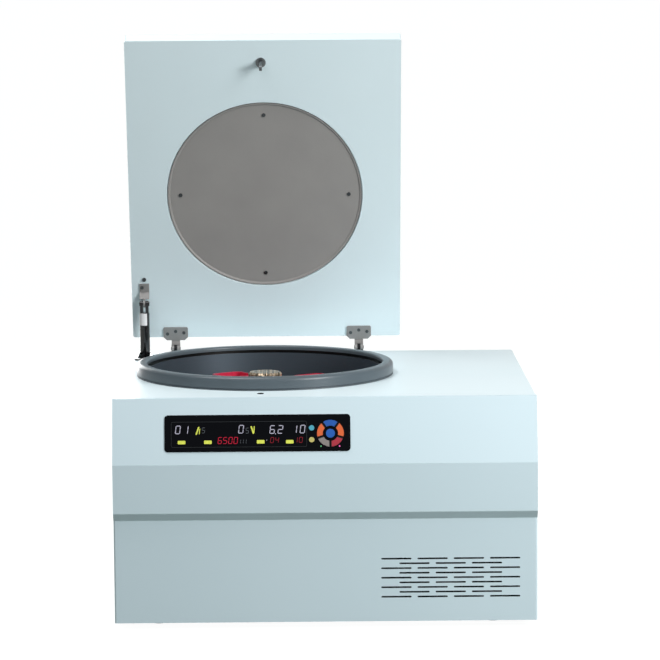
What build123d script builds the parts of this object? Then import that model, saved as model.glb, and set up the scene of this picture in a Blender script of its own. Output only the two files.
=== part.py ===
from build123d import *
from math import atan2, cos, degrees, radians, sin
import os

# Refrigerated bench-top laboratory centrifuge, shown with its lid open.
# Millimetres. X runs to the operator's right, Y to the rear, Z up from the bench.
# The origin is on the bench, under the middle of the open machine.

# ---------------------------------------------------------------- cabinet
WIDTH = 700.0                 # across the side panels
DECK_DEPTH = 604.0            # front fold of the deck to the rear panel
DECK_Z = 385.0                # top of the deck above the bench
DECK_FRONT_Y = -309.0         # front fold of the deck
SHEET = 2.0                   # steel sheet of every cabinet panel
FOLD_R = 3.0                  # outside radius of the sheet's folds
DECK_LIP = 14.0               # folded-down edge of the deck
CONSOLE_RETURN = 12.0         # how far the front covers wrap on to the cabinet

FOOT_GAP = 12.0               # daylight under the cabinet
FOOT_R = 20.0
FOOT_INSET = 70.0             # foot centre from the cabinet's sides
FOOT_CHAMFER = 3.0
SPIGOT_R = 6.0                # foot's push-in spigot
BASE_T = 3.0                  # base plate
BASE_LIFT = 2.0               # base plate's underside above the panels' lower edge

# ---------------------------------------------------------------- front
SLOPE_RUN = 27.0              # how far the console slopes forward
SLOPE_FOOT_Z = 278.0          # foot of the sloping face
SKIRT_Z = 197.0               # lower edge of the console's upright face
STEP_BACK = 9.7               # the step under the console
STEP_DROP = 13.0

VENT_SLOT_L = 50.0            # front louvre slots
VENT_SLOT_H = 2.8
VENT_PITCH_X = 60.0
VENT_PITCH_Z = 8.0
VENT_ROWS = 9
VENT_INSET = 143.5            # middle of the slot field from the cabinet's right side
VENT_Z = 85.0
REAR_SLOT_L = 95.0
REAR_SLOT_GAP = 6.0           # web between the rear slots' two columns
REAR_SLOT_ROWS = 12

# ---------------------------------------------------------------- console
WINDOW_L = 306.0              # glossy control window
WINDOW_H = 61.0
WINDOW_T = 1.2
WINDOW_R = 6.0
WINDOW_INSET = 86.0           # its left end from the cabinet's left side
WINDOW_DOWN = 58.5            # its middle, down the slope from the deck's fold
WINDOW_LAP = 6.0              # how far the window laps the console's aperture
PAD_INSET = 32.9              # round keypad from the window's right end
PAD_DROP = 1.2                # keypad below the window's middle
PAD_R = 22.0
PAD_BORE_R = 12.6
PAD_GAP = 1.8
PAD_KEYS = 5
CENTRE_KEY_R = 7.3
ROUND_KEY_R = 4.4
ROUND_KEY_LEFT = 30.9         # round keys left of the keypad's middle
ROUND_KEY_DROPS = (-7.9, 11.6)
LAMP_R = 1.3
LAMP_OUT = (-15.7, 14.9)      # status lamps beside the keypad's middle
LAMP_DROP = 22.5
KEY_PROUD = 0.7               # key above the window
KEY_LIP = 0.5                 # retaining lip under the window
KEY_DEPTH = 4.0               # key below the console's face
KEY_GAP = 0.2                 # key to its hole
KEY_TRAVEL = 0.5
BOARD_T = 1.6
BOARD_DEPTH = 9.0             # board's back below the console's face
DISPLAY_L = 222.0             # digit module behind the window
DISPLAY_H = 42.0
DISPLAY_INSET = 11.0          # its left end from the window's left end
SWITCH_R = 2.2

# ---------------------------------------------------------------- chamber
CHAMBER_BACK = 0.5            # chamber's axis behind the deck's middle
BOWL_R = 200.0                # inside
BOWL_T = 1.2
BOWL_FLOOR_Z = 235.0
BOWL_CORNER_R = 20.0
BOWL_FLANGE = 13.0            # flange beyond the bowl's inside
BOWL_HUB_R = 46.0             # hole in the floor for the drive
JACKET_T = 6.0                # evaporator jacket round the bowl
JACKET_LOW = 18.0             # its lower edge above the bowl's floor
JACKET_H = 105.0
FOAM_T = 25.0
FOAM_FLOOR = 30.0             # foam under the bowl
GUARD_T = 5.0                 # armour barrel
GUARD_GAP = 8.8               # barrel to the left side panel
PIPE_GAP_W = 120.0            # opening in the barrel for pipes and wires
PIPE_GAP_LOW = 40.0
PIPE_GAP_HIGH = 150.0
GASKET_LAP = 5.0              # gasket's inside beyond the bowl's inside
GASKET_W = 18.5
GASKET_H = 22.7
GASKET_FOOT_H = 6.0
GASKET_NECK_H = 3.0
GASKET_NECK_IN = 3.0

# ---------------------------------------------------------------- drive
PILLAR_R = 10.0
PILLAR_PCD_R = 105.0
DAMPER_R = 18.0
DAMPER_H = 22.0
DRIVE_PLATE_T = 10.0
DRIVE_PLATE_R = 130.0
DRIVE_PLATE_Z = 150.0         # underside of the drive plate
MOTOR_R = 72.0
MOTOR_H = 108.0
BEARING_R = 34.0
BEARING_H = 45.0
END_CAP = 12.0                # closed lower end of the motor
SHAFT_END = 2.0               # shaft's end above the closed end
BOOT_T = 6.0
BOOT_RISE = 18.0              # boot's lip above the bowl's floor
STUD_R = 7.0                  # threaded end of the shaft
STUD_L = 12.0
SHAFT_R = 10.0
RUN_FIT = 0.06                # radial clearance of running shafts and pins

# ---------------------------------------------------------------- rotor
ROTOR_TURN = 33.0             # bearing of the first bucket
PIN_PCR = 105.0               # trunnions from the rotor's axis
PIN_Z = 345.0
PIN_R = 5.0
PIN_ENGAGE = 5.0              # trunnion length inside the bucket's boss
ARM_T = 10.0
ARM_H = 28.0
ARM_END = 13.0                # arm beyond the trunnion
HUB_R = 44.0
HUB_DROP = 42.0               # hub below the trunnions
HUB_RISE = 20.0
NUT_R = 15.0
NUT_H = 19.0

BUCKET_W = 60.0
BUCKET_H = 95.0
BUCKET_RISE = 27.0            # bucket's rim above the trunnions
BUCKET_WALL = 3.0
BUCKET_CORNER_R = 12.0
BOSS_R = 11.0
BOSS_H = 6.0
ARM_GAP = 0.6                 # bucket boss to the rotor's arm
RACK_GAP = 0.5
RACK_DROP = 12.0              # rack's top below the bucket's rim
TUBE_R = 8.0
TUBE_PITCH = 28.0
TUBE_PROUD = 2.0
CAP_R = 9.0
CAP_H = 11.0

# ---------------------------------------------------------------- lid
LID_W = 491.0
LID_SHORT = 33.0              # how much shorter the lid is than the deck
LID_H = 40.0
LID_SIDE_GAP = 2.0            # lid's left edge in from the cabinet's side
LID_FOLD_R = 4.0
LID_OPEN = 73.5               # degrees from closed to open
HINGE_UP = 8.0                # hinge axis above the deck
HINGE_FROM_REAR = 7.0         # hinge axis in front of the rear panel
LID_REAR_GAP = 16.4           # lid's rear edge in front of the hinge axis
LID_SEAT = 0.3                # closed lid above the gasket
DISH_R = 175.5                # round recess in the lid's underside
DISH_SLOPE = 9.0
DISH_DEPTH = 5.0
DISC_T = 2.0
DISC_GAP = 0.4
DISC_SCREW_PCR = 152.0
DISC_SCREW_R = 3.4

LEAF_W = 45.0
LEAF_L = 28.5
LEAF_PAST = 7.9               # leaf beyond the lid's rear edge
LEAF_T = 2.5
LEAF_CHAMFER = 7.0
LEAF_SCREW_R = 3.0
HINGE_INSETS = (78.2, 75.8)   # leaf's middle from the lid's left and right edges
KNUCKLE_R = 6.0
KNUCKLE_W = 14.0
HINGE_PIN_R = 3.0
EAR_T = 2.5
EAR_GAP = 0.5
BRACKET_T = 1.5
BRACKET_L = 26.0

# ---------------------------------------------------------------- lock
LOCK_OFF = 4.0                # striker left of the lid's middle
LOCK_INSET = 41.0             # striker from the lid's front edge
STRIKER_L = 38.0
STRIKER_T = 5.0
STRIKER_W = 10.0
STRIKER_EYE_R = 3.6
STRIKER_FLANGE_R = 9.0
STRIKER_FLANGE_T = 3.0
BOLT_R = 3.0
BOLT_TRAVEL = 14.0
BOLT_BACK = 4.5               # retracted bolt's tip from the striker
LOCK_SLOT_W = 11.0
LOCK_SLOT_L = 19.0
LOCK_BODY_W = 52.0
LOCK_BODY_L = 28.0
LOCK_BODY_H = 34.0
SOLENOID_R = 6.5
SOLENOID_L = 40.0

# ---------------------------------------------------------------- gas strut
STRUT_INSET = 23.0            # strut from the lid's left edge
STRUT_UP_LID = 74.0           # upper pivot from the lid's rear edge
STRUT_OFF_LID = 17.0          # upper pivot off the lid's face
STRUT_FOOT_INSET = 22.0       # lower pivot from the rear panel
STRUT_FOOT_DOWN = 115.0       # lower pivot under the deck's top
STRUT_SLOT_W = 22.0
STRUT_SLOT_L = 96.0
STRUT_SLOT_INSET = 14.0       # slot's rear end from the rear panel
SLOT_R = 5.0
ANCHOR_T = 3.0                # ball stud's plate on the side panel
ANCHOR_W = 24.0
ANCHOR_H = 32.0
ANCHOR_GAP = 0.6              # stud's tip beside the rod
TRIM_W = 3.0
TRIM_H = 1.6
TUBE_START = 27.0             # strut cylinder from the upper pivot
TUBE_END = 115.0
STRUT_TUBE_R = 7.5
STRUT_TUBE_WALL = 1.2
ROD_R = 4.0
PISTON_AT = 97.0
PISTON_H = 7.0
EYE_R = 8.0
EYE_T = 5.0
EYE_BORE_R = 4.2
CLEVIS_W = 12.0
CLEVIS_T = 11.0
TAB_T = 3.0
STRUT_PIN_R = 2.5

# ---------------------------------------------------------------- cooling and power
BULKHEAD_GAP = 5.8            # bulkhead beside the armour barrel
COND_GAP = 7.0                # condenser to the right side panel
COND_H = 132.0
COND_T = 34.0
COND_SETBACK = 10.0           # condenser behind the deck's front fold
COND_FINS = 14
COND_RIM = 10.0
FAN_R = 56.0
FAN_HUB_R = 19.0
FAN_W = 18.0
FAN_BLADES = 5
FAN_TIP = 3.0                 # blade tip to the shroud
FAN_GAP = 4.0
BLADE_T = 2.0
BLADE_CHORD = 26.0
BLADE_PITCH = 35.0
FAN_SHAFT_R = 4.0
FAN_MOTOR_R = 26.0
FAN_MOTOR_L = 46.0
FAN_POST = 12.0
SHROUD_T = 2.0
COMP_R = 78.0
COMP_H = 175.0
COMP_INSET = 194.0            # compressor's axis from the rear panel
COMP_RIM = 6.0
COMP_RIM_T = 4.0
COMP_DOME_R = 30.0
COMP_FOOT_R = 70.0            # compressor's rubber mounts from its axis
MOUNT_R = 12.0
MOUNT_H = 16.0
SHELF_Z = 236.0
SHELF_L = 250.0
SHELF_BACK = 20.0
DRIVE_H = 90.0                # motor drive unit on the shelf
DRIVE_INSET = 22.0
DRIVE_FINS = 9
DRIVE_FIN_PITCH = 17.0
DRIVE_FIN_GAP = 9.0
DRIVE_FIN_H = 16.0
INLET_W = 50.0
INLET_H = 30.0
INLET_INSET = 120.0           # inlet from the cabinet's left side
INLET_Z = 80.0
INLET_DEPTH = 20.0
INLET_RIM = 3.0
SOCKET_W = 26.0
SOCKET_H = 17.0
SOCKET_DEPTH = 18.0
PRONG_L = 12.0
PRONG_T = 2.0
PRONG_W = 4.0
PRONGS = ((-7, -2), (0, 3), (7, -2))
ROCKER_FROM_INLET = 65.0
ROCKER_IN = 6.0               # rocker's pivot inside the rear panel
ROCKER_W = 22.0
ROCKER_H = 30.0
ROCKER_TILT = 10.0
ROCKER_GAP = 0.4

# ---------------------------------------------------------------- derived
REAR_Y = DECK_FRONT_Y + DECK_DEPTH
SIDE_X = WIDTH / 2
INNER_X = SIDE_X - SHEET
RETURN_Y = DECK_FRONT_Y + CONSOLE_RETURN
BULGE_Y = DECK_FRONT_Y - SLOPE_RUN
LOWER_Y = BULGE_Y + STEP_BACK
STEP_Z = SKIRT_Z - STEP_DROP
BASE_BOTTOM = FOOT_GAP + BASE_LIFT
BASE_TOP = BASE_BOTTOM + BASE_T
DECK_UNDER = DECK_Z - SHEET
HINGE_Y = REAR_Y - HINGE_FROM_REAR
HINGE_Z = DECK_Z + HINGE_UP
LID_FACE_Z = DECK_Z + GASKET_H + LID_SEAT
LID_REAR_Y = HINGE_Y - LID_REAR_GAP
LID_LEFT_X = -SIDE_X + LID_SIDE_GAP
LID_X = LID_LEFT_X + LID_W / 2
HINGE_X = (LID_LEFT_X + HINGE_INSETS[0], LID_LEFT_X + LID_W - HINGE_INSETS[1])
LOCK_X = LID_X - LOCK_OFF
STRUT_X = LID_LEFT_X + STRUT_INSET
STRUT_FOOT_Y = REAR_Y - STRUT_FOOT_INSET
STRUT_FOOT_Z = DECK_Z - STRUT_FOOT_DOWN
GUARD_R = BOWL_R + BOWL_T + JACKET_T + FOAM_T + GUARD_T
CHAMBER_X = -INNER_X + GUARD_GAP + GUARD_R
CHAMBER_Y = DECK_FRONT_Y + DECK_DEPTH / 2 + CHAMBER_BACK
BOWL_FLANGE_R = BOWL_R + BOWL_FLANGE
GASKET_R_IN = BOWL_R + GASKET_LAP
GASKET_R_OUT = GASKET_R_IN + GASKET_W
VENT_X = SIDE_X - VENT_INSET
WINDOW_X = -SIDE_X + WINDOW_INSET + WINDOW_L / 2
PAD_X = WINDOW_X + WINDOW_L / 2 - PAD_INSET
PAD_DOWN = WINDOW_DOWN + PAD_DROP
DISPLAY_X = WINDOW_X - WINDOW_L / 2 + DISPLAY_INSET + DISPLAY_L / 2
LID_L = DECK_DEPTH - LID_SHORT
BULKHEAD_X = CHAMBER_X + GUARD_R + BULKHEAD_GAP
COMP_X = (BULKHEAD_X + SHEET + INNER_X) / 2
COMP_Y = REAR_Y - COMP_INSET
COND_Y = DECK_FRONT_Y + COND_SETBACK
INLET_X = -SIDE_X + INLET_INSET
ROCKER_X = INLET_X + ROCKER_FROM_INLET
HINGE_AXIS = Axis((0, HINGE_Y, HINGE_Z), (1, 0, 0))

os.makedirs("parts", exist_ok=True)


def save(name, *shapes):
    """Write one named piece, or one group of like pieces, as a STEP file."""
    solids = []
    for shape in shapes:
        solids.extend(shape.solids())
    body = solids[0] if len(solids) == 1 else Compound(children=solids)
    export_step(body, f"parts/{name}.step")


def block(x0, x1, y0, y1, z0, z1):
    """A box between two corners."""
    size = Box(x1 - x0, y1 - y0, z1 - z0)
    return Pos((x0 + x1) / 2, (y0 + y1) / 2, (z0 + z1) / 2) * size


def rod(x, y, z0, z1, r):
    """An upright round bar from z0 to z1."""
    return Pos(x, y, (z0 + z1) / 2) * Cylinder(r, z1 - z0)


def bar_x(x0, x1, y, z, r):
    """A round bar along X."""
    return Pos((x0 + x1) / 2, y, z) * Rot(0, 90, 0) * Cylinder(r, x1 - x0)


def bar_y(x, y0, y1, z, r):
    """A round bar along Y."""
    return Pos(x, (y0 + y1) / 2, z) * Rot(90, 0, 0) * Cylinder(r, y1 - y0)


def side_profile(points, x0, x1):
    """A Y-Z outline carried along X."""
    face = Plane.YZ * Polygon(*points, align=None)
    return Pos(x0, 0, 0) * extrude(face, amount=x1 - x0, dir=(1, 0, 0))


def turned(points, x, y):
    """A radius-height outline turned about an upright axis at x, y."""
    face = Plane.XZ * Polygon(*points, align=None)
    return Pos(x, y, 0) * revolve(face, Axis.Z)


def opened(shape):
    """Swing a piece of the closed lid to the open position."""
    return shape.rotate(HINGE_AXIS, -LID_OPEN)


# ================================================================ base and feet
feet = []
base = block(-INNER_X, INNER_X, LOWER_Y + SHEET, REAR_Y - SHEET, BASE_BOTTOM, BASE_TOP)
for x in (-SIDE_X + FOOT_INSET, SIDE_X - FOOT_INSET):
    for y in (LOWER_Y + FOOT_INSET, REAR_Y - FOOT_INSET):
        foot = rod(x, y, 0, BASE_BOTTOM, FOOT_R)
        foot = chamfer(foot.edges().group_by(Axis.Z)[0], FOOT_CHAMFER)
        spigot = rod(x, y, BASE_BOTTOM, BASE_TOP, SPIGOT_R)
        feet.append(foot + spigot)
        base -= spigot
save("feet", *feet)
for k in range(3):
    a = radians(90 + 120 * k)
    x = CHAMBER_X + PILLAR_PCD_R * cos(a)
    y = CHAMBER_Y + PILLAR_PCD_R * sin(a)
    base += rod(x, y, BASE_TOP, DRIVE_PLATE_Z - DAMPER_H, PILLAR_R)
save("base_plate", base)

# ================================================================ cabinet panels
deck = block(-SIDE_X, SIDE_X, RETURN_Y, REAR_Y, DECK_Z - DECK_LIP, DECK_Z)
deck_ends = deck.faces().filter_by(Axis.X).edges().filter_by(Axis.Y)
deck = fillet(deck_ends.group_by(Axis.Z)[-1], FOLD_R)
hollow = block(-INNER_X, INNER_X, RETURN_Y - 1, REAR_Y - SHEET, 0, DECK_UNDER)
deck -= hollow
deck -= rod(CHAMBER_X, CHAMBER_Y, DECK_UNDER - 1, DECK_Z + 1, BOWL_R + BOWL_T + 0.3)
lid_front_y = LID_REAR_Y - LID_L
lock_y = lid_front_y + LOCK_INSET
lock_slot = Rot(0, 0, 90) * SlotOverall(LOCK_SLOT_L, LOCK_SLOT_W)
deck -= Pos(LOCK_X, lock_y, DECK_UNDER - 1) * extrude(lock_slot, amount=SHEET + 2)
slot_mid = REAR_Y - STRUT_SLOT_INSET - STRUT_SLOT_L / 2
strut_slot = RectangleRounded(STRUT_SLOT_W, STRUT_SLOT_L, SLOT_R)
slot_cut = Pos(STRUT_X, slot_mid, DECK_UNDER - 1) * extrude(strut_slot, amount=SHEET + 2)
deck -= slot_cut
save("deck_panel", deck)

side_top = DECK_Z - DECK_LIP
left_side = block(-SIDE_X, -INNER_X, RETURN_Y, REAR_Y, FOOT_GAP, side_top)
right_side = block(INNER_X, SIDE_X, RETURN_Y, REAR_Y, FOOT_GAP, side_top)
save("right_side_panel", right_side)

# The console is one folded cover: top return, slope, upright face and step.
console_outline = [
    (RETURN_Y, DECK_Z),
    (DECK_FRONT_Y, DECK_Z),
    (BULGE_Y, SLOPE_FOOT_Z),
    (BULGE_Y, SKIRT_Z),
    (LOWER_Y, STEP_Z),
    (RETURN_Y, STEP_Z),
]
outline_face = Plane.YZ * Polygon(*console_outline, align=None)
console_solid = extrude(outline_face, amount=SIDE_X, both=True)
console_solid = fillet(console_solid.edges().filter_by(Axis.X).sort_by(Axis.Y)[0:2], FOLD_R)
cavity_face = offset(outline_face, -SHEET, kind=Kind.INTERSECTION)
console_cavity = extrude(cavity_face, amount=INNER_X, both=True)
back_opening = block(-INNER_X, INNER_X, RETURN_Y - SHEET - 1, RETURN_Y + 1, STEP_Z + SHEET, DECK_UNDER)
console = console_solid - console_cavity - back_opening

# Console face plane: local x to the right, local y up the slope, z off the face.
slope_drop = DECK_Z - SLOPE_FOOT_Z
slope_len = (SLOPE_RUN ** 2 + slope_drop ** 2) ** 0.5
FACE = Plane(
    origin=(0, DECK_FRONT_Y, DECK_Z),
    x_dir=(1, 0, 0),
    z_dir=(0, -slope_drop / slope_len, SLOPE_RUN / slope_len),
)


def on_console(sketch, low, high):
    """A sketch on the console's face, carried from one height to another."""
    solid = extrude(sketch, amount=high - low)
    return FACE.location * Pos(0, 0, low) * solid


window_place = Pos(WINDOW_X, -WINDOW_DOWN)
aperture_l = WINDOW_L - 2 * WINDOW_LAP
aperture_h = WINDOW_H - 2 * WINDOW_LAP
aperture = window_place * RectangleRounded(aperture_l, aperture_h, WINDOW_R - 2)
console -= on_console(aperture, -SHEET - 2, 1)
save("console_cover", console)

# ================================================================ lower front and rear
lower = block(-SIDE_X, SIDE_X, LOWER_Y, RETURN_Y, FOOT_GAP, STEP_Z)
corner_edges = lower.faces().sort_by(Axis.Y)[0].edges().filter_by(Axis.Z)
lower = fillet(corner_edges, FOLD_R)
lower -= block(-INNER_X, INNER_X, LOWER_Y + SHEET, RETURN_Y + 1, FOOT_GAP + SHEET, STEP_Z + 1)
slots = []
for row in range(VENT_ROWS):
    count = 4 if row % 2 == 0 else 3
    z = VENT_Z + (row - (VENT_ROWS - 1) / 2) * VENT_PITCH_Z
    for k in range(count):
        x = VENT_X + (k - (count - 1) / 2) * VENT_PITCH_X
        slots.append(Pos(x, z) * SlotOverall(VENT_SLOT_L, VENT_SLOT_H))
slot_field = Sketch() + slots
lower -= Pos(0, LOWER_Y - 1, 0) * extrude(Plane.XZ * slot_field, amount=-(SHEET + 2))
save("lower_front_panel", lower)

rear = block(-INNER_X, INNER_X, REAR_Y - SHEET, REAR_Y, FOOT_GAP, side_top)
for row in range(REAR_SLOT_ROWS):
    z = VENT_Z + row * VENT_PITCH_Z
    for k in (-0.5, 0.5):
        x = COMP_X + k * (REAR_SLOT_L + REAR_SLOT_GAP)
        rear -= block(
            x - REAR_SLOT_L / 2,
            x + REAR_SLOT_L / 2,
            REAR_Y - SHEET - 1,
            REAR_Y + 1,
            z - VENT_SLOT_H / 2,
            z + VENT_SLOT_H / 2,
        )
inlet_hole = (INLET_W - 4, INLET_H - 4)
rear -= Pos(INLET_X, REAR_Y, INLET_Z) * Box(inlet_hole[0], INLET_DEPTH, inlet_hole[1])
rear -= Pos(ROCKER_X, REAR_Y, INLET_Z) * Box(ROCKER_W + 4, INLET_DEPTH, ROCKER_H + 4)
save("rear_panel", rear)

# ================================================================ chamber
bowl_out = BOWL_R + BOWL_T
bowl_profile = [
    (BOWL_HUB_R, BOWL_FLOOR_Z - BOWL_T),
    (bowl_out, BOWL_FLOOR_Z - BOWL_T),
    (bowl_out, DECK_Z),
    (BOWL_FLANGE_R, DECK_Z),
    (BOWL_FLANGE_R, DECK_Z + BOWL_T),
    (BOWL_R, DECK_Z + BOWL_T),
    (BOWL_R, BOWL_FLOOR_Z),
    (BOWL_HUB_R, BOWL_FLOOR_Z),
]
bowl_face = Polygon(*bowl_profile, align=None)
outer_corner = bowl_face.vertices().sort_by_distance((bowl_out, BOWL_FLOOR_Z - BOWL_T))[0]
bowl_face = fillet(outer_corner, BOWL_CORNER_R + BOWL_T)
inner_corner = bowl_face.vertices().sort_by_distance((BOWL_R, BOWL_FLOOR_Z))[0]
bowl_face = fillet(inner_corner, BOWL_CORNER_R)
bowl = Pos(CHAMBER_X, CHAMBER_Y, 0) * revolve(Plane.XZ * bowl_face, Axis.Z)
save("bowl", bowl)

jacket_z = BOWL_FLOOR_Z + JACKET_LOW
jacket_r = bowl_out + JACKET_T
jacket = rod(CHAMBER_X, CHAMBER_Y, jacket_z, jacket_z + JACKET_H, jacket_r)
jacket -= rod(CHAMBER_X, CHAMBER_Y, jacket_z - 1, jacket_z + JACKET_H + 1, bowl_out)
save("evaporator_jacket", jacket)

foam_low = BOWL_FLOOR_Z - FOAM_FLOOR
foam = rod(CHAMBER_X, CHAMBER_Y, foam_low, DECK_UNDER, jacket_r + FOAM_T)
foam -= rod(CHAMBER_X, CHAMBER_Y, BOWL_FLOOR_Z - BOWL_T, DECK_UNDER + 1, jacket_r)
foam -= rod(CHAMBER_X, CHAMBER_Y, foam_low - 1, BOWL_FLOOR_Z, BOWL_HUB_R)
save("chamber_insulation", foam)

guard = rod(CHAMBER_X, CHAMBER_Y, BASE_TOP, DECK_UNDER, GUARD_R)
guard -= rod(CHAMBER_X, CHAMBER_Y, BASE_TOP - 1, DECK_UNDER + 1, GUARD_R - GUARD_T)
pipe_gap_y = (CHAMBER_Y - PIPE_GAP_W / 2, CHAMBER_Y + PIPE_GAP_W / 2)
pipe_gap = block(CHAMBER_X, INNER_X, *pipe_gap_y, PIPE_GAP_LOW, PIPE_GAP_HIGH)
guard -= pipe_gap
save("guard_barrel", guard)

gasket_foot = DECK_Z + GASKET_FOOT_H
gasket_neck = gasket_foot + GASKET_NECK_H
gasket_top = DECK_Z + GASKET_H
bulb_h = gasket_top - gasket_neck
gasket_profile = [
    (GASKET_R_IN, DECK_Z + BOWL_T),
    (BOWL_FLANGE_R, DECK_Z + BOWL_T),
    (BOWL_FLANGE_R, DECK_Z),
    (GASKET_R_OUT, DECK_Z),
    (GASKET_R_OUT, gasket_foot),
    (GASKET_R_OUT - GASKET_NECK_IN, gasket_foot),
    (GASKET_R_OUT - GASKET_NECK_IN, gasket_neck),
    (GASKET_R_OUT, gasket_neck),
    (GASKET_R_OUT, gasket_top),
    (GASKET_R_IN, gasket_top),
]
gasket_face = Polygon(*gasket_profile, align=None)
bulb_tops = gasket_face.vertices().group_by(Axis.Y)[-1]
gasket_face = fillet(bulb_tops, bulb_h * 0.48)
gasket = Pos(CHAMBER_X, CHAMBER_Y, 0) * revolve(Plane.XZ * gasket_face, Axis.Z)
save("chamber_gasket", gasket)

# ================================================================ drive unit
# Three drive dampers on the base's pillars, and three under the compressor.
dampers = []
for k in range(3):
    a = radians(90 + 120 * k)
    x = CHAMBER_X + PILLAR_PCD_R * cos(a)
    y = CHAMBER_Y + PILLAR_PCD_R * sin(a)
    dampers.append(rod(x, y, DRIVE_PLATE_Z - DAMPER_H, DRIVE_PLATE_Z, DAMPER_R))
    x = COMP_X + COMP_FOOT_R * cos(a)
    y = COMP_Y + COMP_FOOT_R * sin(a)
    dampers.append(rod(x, y, BASE_TOP, BASE_TOP + MOUNT_H, MOUNT_R))
save("vibration_dampers", *dampers)

shaft_hole = SHAFT_R + RUN_FIT
motor_top = DRIVE_PLATE_Z
plate_top = DRIVE_PLATE_Z + DRIVE_PLATE_T
motor = rod(CHAMBER_X, CHAMBER_Y, motor_top - MOTOR_H, motor_top, MOTOR_R)
for k in range(16):
    a = 22.5 * k
    groove = Pos(MOTOR_R, 0, motor_top - MOTOR_H / 2) * Box(6, 5, MOTOR_H - 24)
    motor -= Pos(CHAMBER_X, CHAMBER_Y, 0) * Rot(0, 0, a) * groove
bearing_top = motor_top + DRIVE_PLATE_T + BEARING_H
motor += rod(CHAMBER_X, CHAMBER_Y, motor_top, plate_top, DRIVE_PLATE_R)
motor += rod(CHAMBER_X, CHAMBER_Y, plate_top, bearing_top, BEARING_R)
motor_low = motor_top - MOTOR_H
motor -= rod(CHAMBER_X, CHAMBER_Y, motor_low + END_CAP, bearing_top + 1, shaft_hole)
save("drive_motor", motor)

boot_neck = SHAFT_R + BOOT_T
boot_top = BOWL_FLOOR_Z + BOOT_RISE
boot_profile = [
    (boot_neck, bearing_top),
    (BOWL_HUB_R, bearing_top),
    (BOWL_HUB_R, BOWL_FLOOR_Z + BOOT_T),
    (BOWL_HUB_R - BOOT_T, BOWL_FLOOR_Z + BOOT_T),
    (boot_neck + BOOT_T, boot_top),
    (boot_neck, boot_top),
]
save("shaft_boot", turned(boot_profile, CHAMBER_X, CHAMBER_Y))

# ================================================================ swing-out rotor
hub_top = PIN_Z + HUB_RISE
hub_low = PIN_Z - HUB_DROP
arm_reach = PIN_PCR + ARM_END
cheek_in = BUCKET_W / 2 + BOSS_H + ARM_GAP
cheek_out = cheek_in + ARM_T

shaft = rod(0, 0, motor_low + END_CAP + SHAFT_END, hub_top, SHAFT_R)
shaft += rod(0, 0, hub_top, hub_top + STUD_L, STUD_R)

spider = Rectangle(2 * arm_reach, 2 * arm_reach)
notch_x = HUB_R - 2
notch_l = arm_reach - notch_x + 5
for k in range(4):
    notch = Pos(notch_x + notch_l / 2, 0) * Rectangle(notch_l, 2 * cheek_in)
    window = Pos(cheek_out + arm_reach / 2, cheek_out + arm_reach / 2)
    window *= Rectangle(arm_reach, arm_reach)
    spider -= Rot(0, 0, 90 * k) * notch
    spider -= Rot(0, 0, 90 * k) * window
spider_solid = Pos(0, 0, PIN_Z - ARM_H / 2) * extrude(spider, amount=ARM_H)
spider_solid += rod(0, 0, hub_low, hub_top, HUB_R)
spider_solid -= rod(0, 0, hub_low - 1, hub_top + 1, SHAFT_R)
tip_edges = [
    e
    for e in spider_solid.edges()
    if abs(e.length - ARM_T) < 0.01 and e.center().Z > PIN_Z - ARM_H
    and max(abs(e.center().X), abs(e.center().Y)) > arm_reach - 0.01
]
spider_solid = fillet(tip_edges, ARM_H * 0.42)
trunnions = []
for k in range(4):
    for side in (-1, 1):
        y0 = side * (cheek_in - ARM_GAP - PIN_ENGAGE)
        y1 = side * cheek_out
        pin = bar_y(PIN_PCR, min(y0, y1), max(y0, y1), PIN_Z, PIN_R)
        trunnions.append(Rot(0, 0, 90 * k) * pin)
for pin in trunnions:
    spider_solid += pin
nut = rod(0, 0, hub_top, hub_top + NUT_H, NUT_R)
nut = chamfer(nut.edges().group_by(Axis.Z)[-1], 3)
nut -= rod(0, 0, hub_top - 1, hub_top + STUD_L, STUD_R)
for k in range(6):
    nut -= Rot(0, 0, 60 * k) * Pos(NUT_R + 1.5, 0, hub_top + NUT_H / 2 + 2) * Cylinder(3, NUT_H)

rotor_place = Pos(CHAMBER_X, CHAMBER_Y, 0) * Rot(0, 0, ROTOR_TURN)
save("motor_shaft", rotor_place * shaft)
save("rotor_head", rotor_place * spider_solid)
save("rotor_nut", rotor_place * nut)

# One bucket with its rack and tubes, hanging on its trunnions at the first place.
bucket_low = PIN_Z + BUCKET_RISE - BUCKET_H
shell = Pos(0, 0, bucket_low) * extrude(RectangleRounded(BUCKET_W, BUCKET_W, BUCKET_CORNER_R), amount=BUCKET_H)
shell = fillet(shell.edges().group_by(Axis.Z)[0], 6)
for side in (-1, 1):
    y0 = side * (BUCKET_W / 2 - 4)
    y1 = side * (BUCKET_W / 2 + BOSS_H)
    shell += bar_y(0, min(y0, y1), max(y0, y1), PIN_Z, BOSS_R)
inner_w = BUCKET_W - 2 * BUCKET_WALL
pocket = RectangleRounded(inner_w, inner_w, BUCKET_CORNER_R - BUCKET_WALL)
shell -= Pos(0, 0, bucket_low + BUCKET_WALL) * extrude(pocket, amount=BUCKET_H)
for side in (-1, 1):
    y0 = side * (BUCKET_W / 2 + BOSS_H - PIN_ENGAGE - 0.4)
    y1 = side * (BUCKET_W / 2 + BOSS_H + 1)
    shell -= bar_y(0, min(y0, y1), max(y0, y1), PIN_Z, PIN_R + RUN_FIT)

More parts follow.
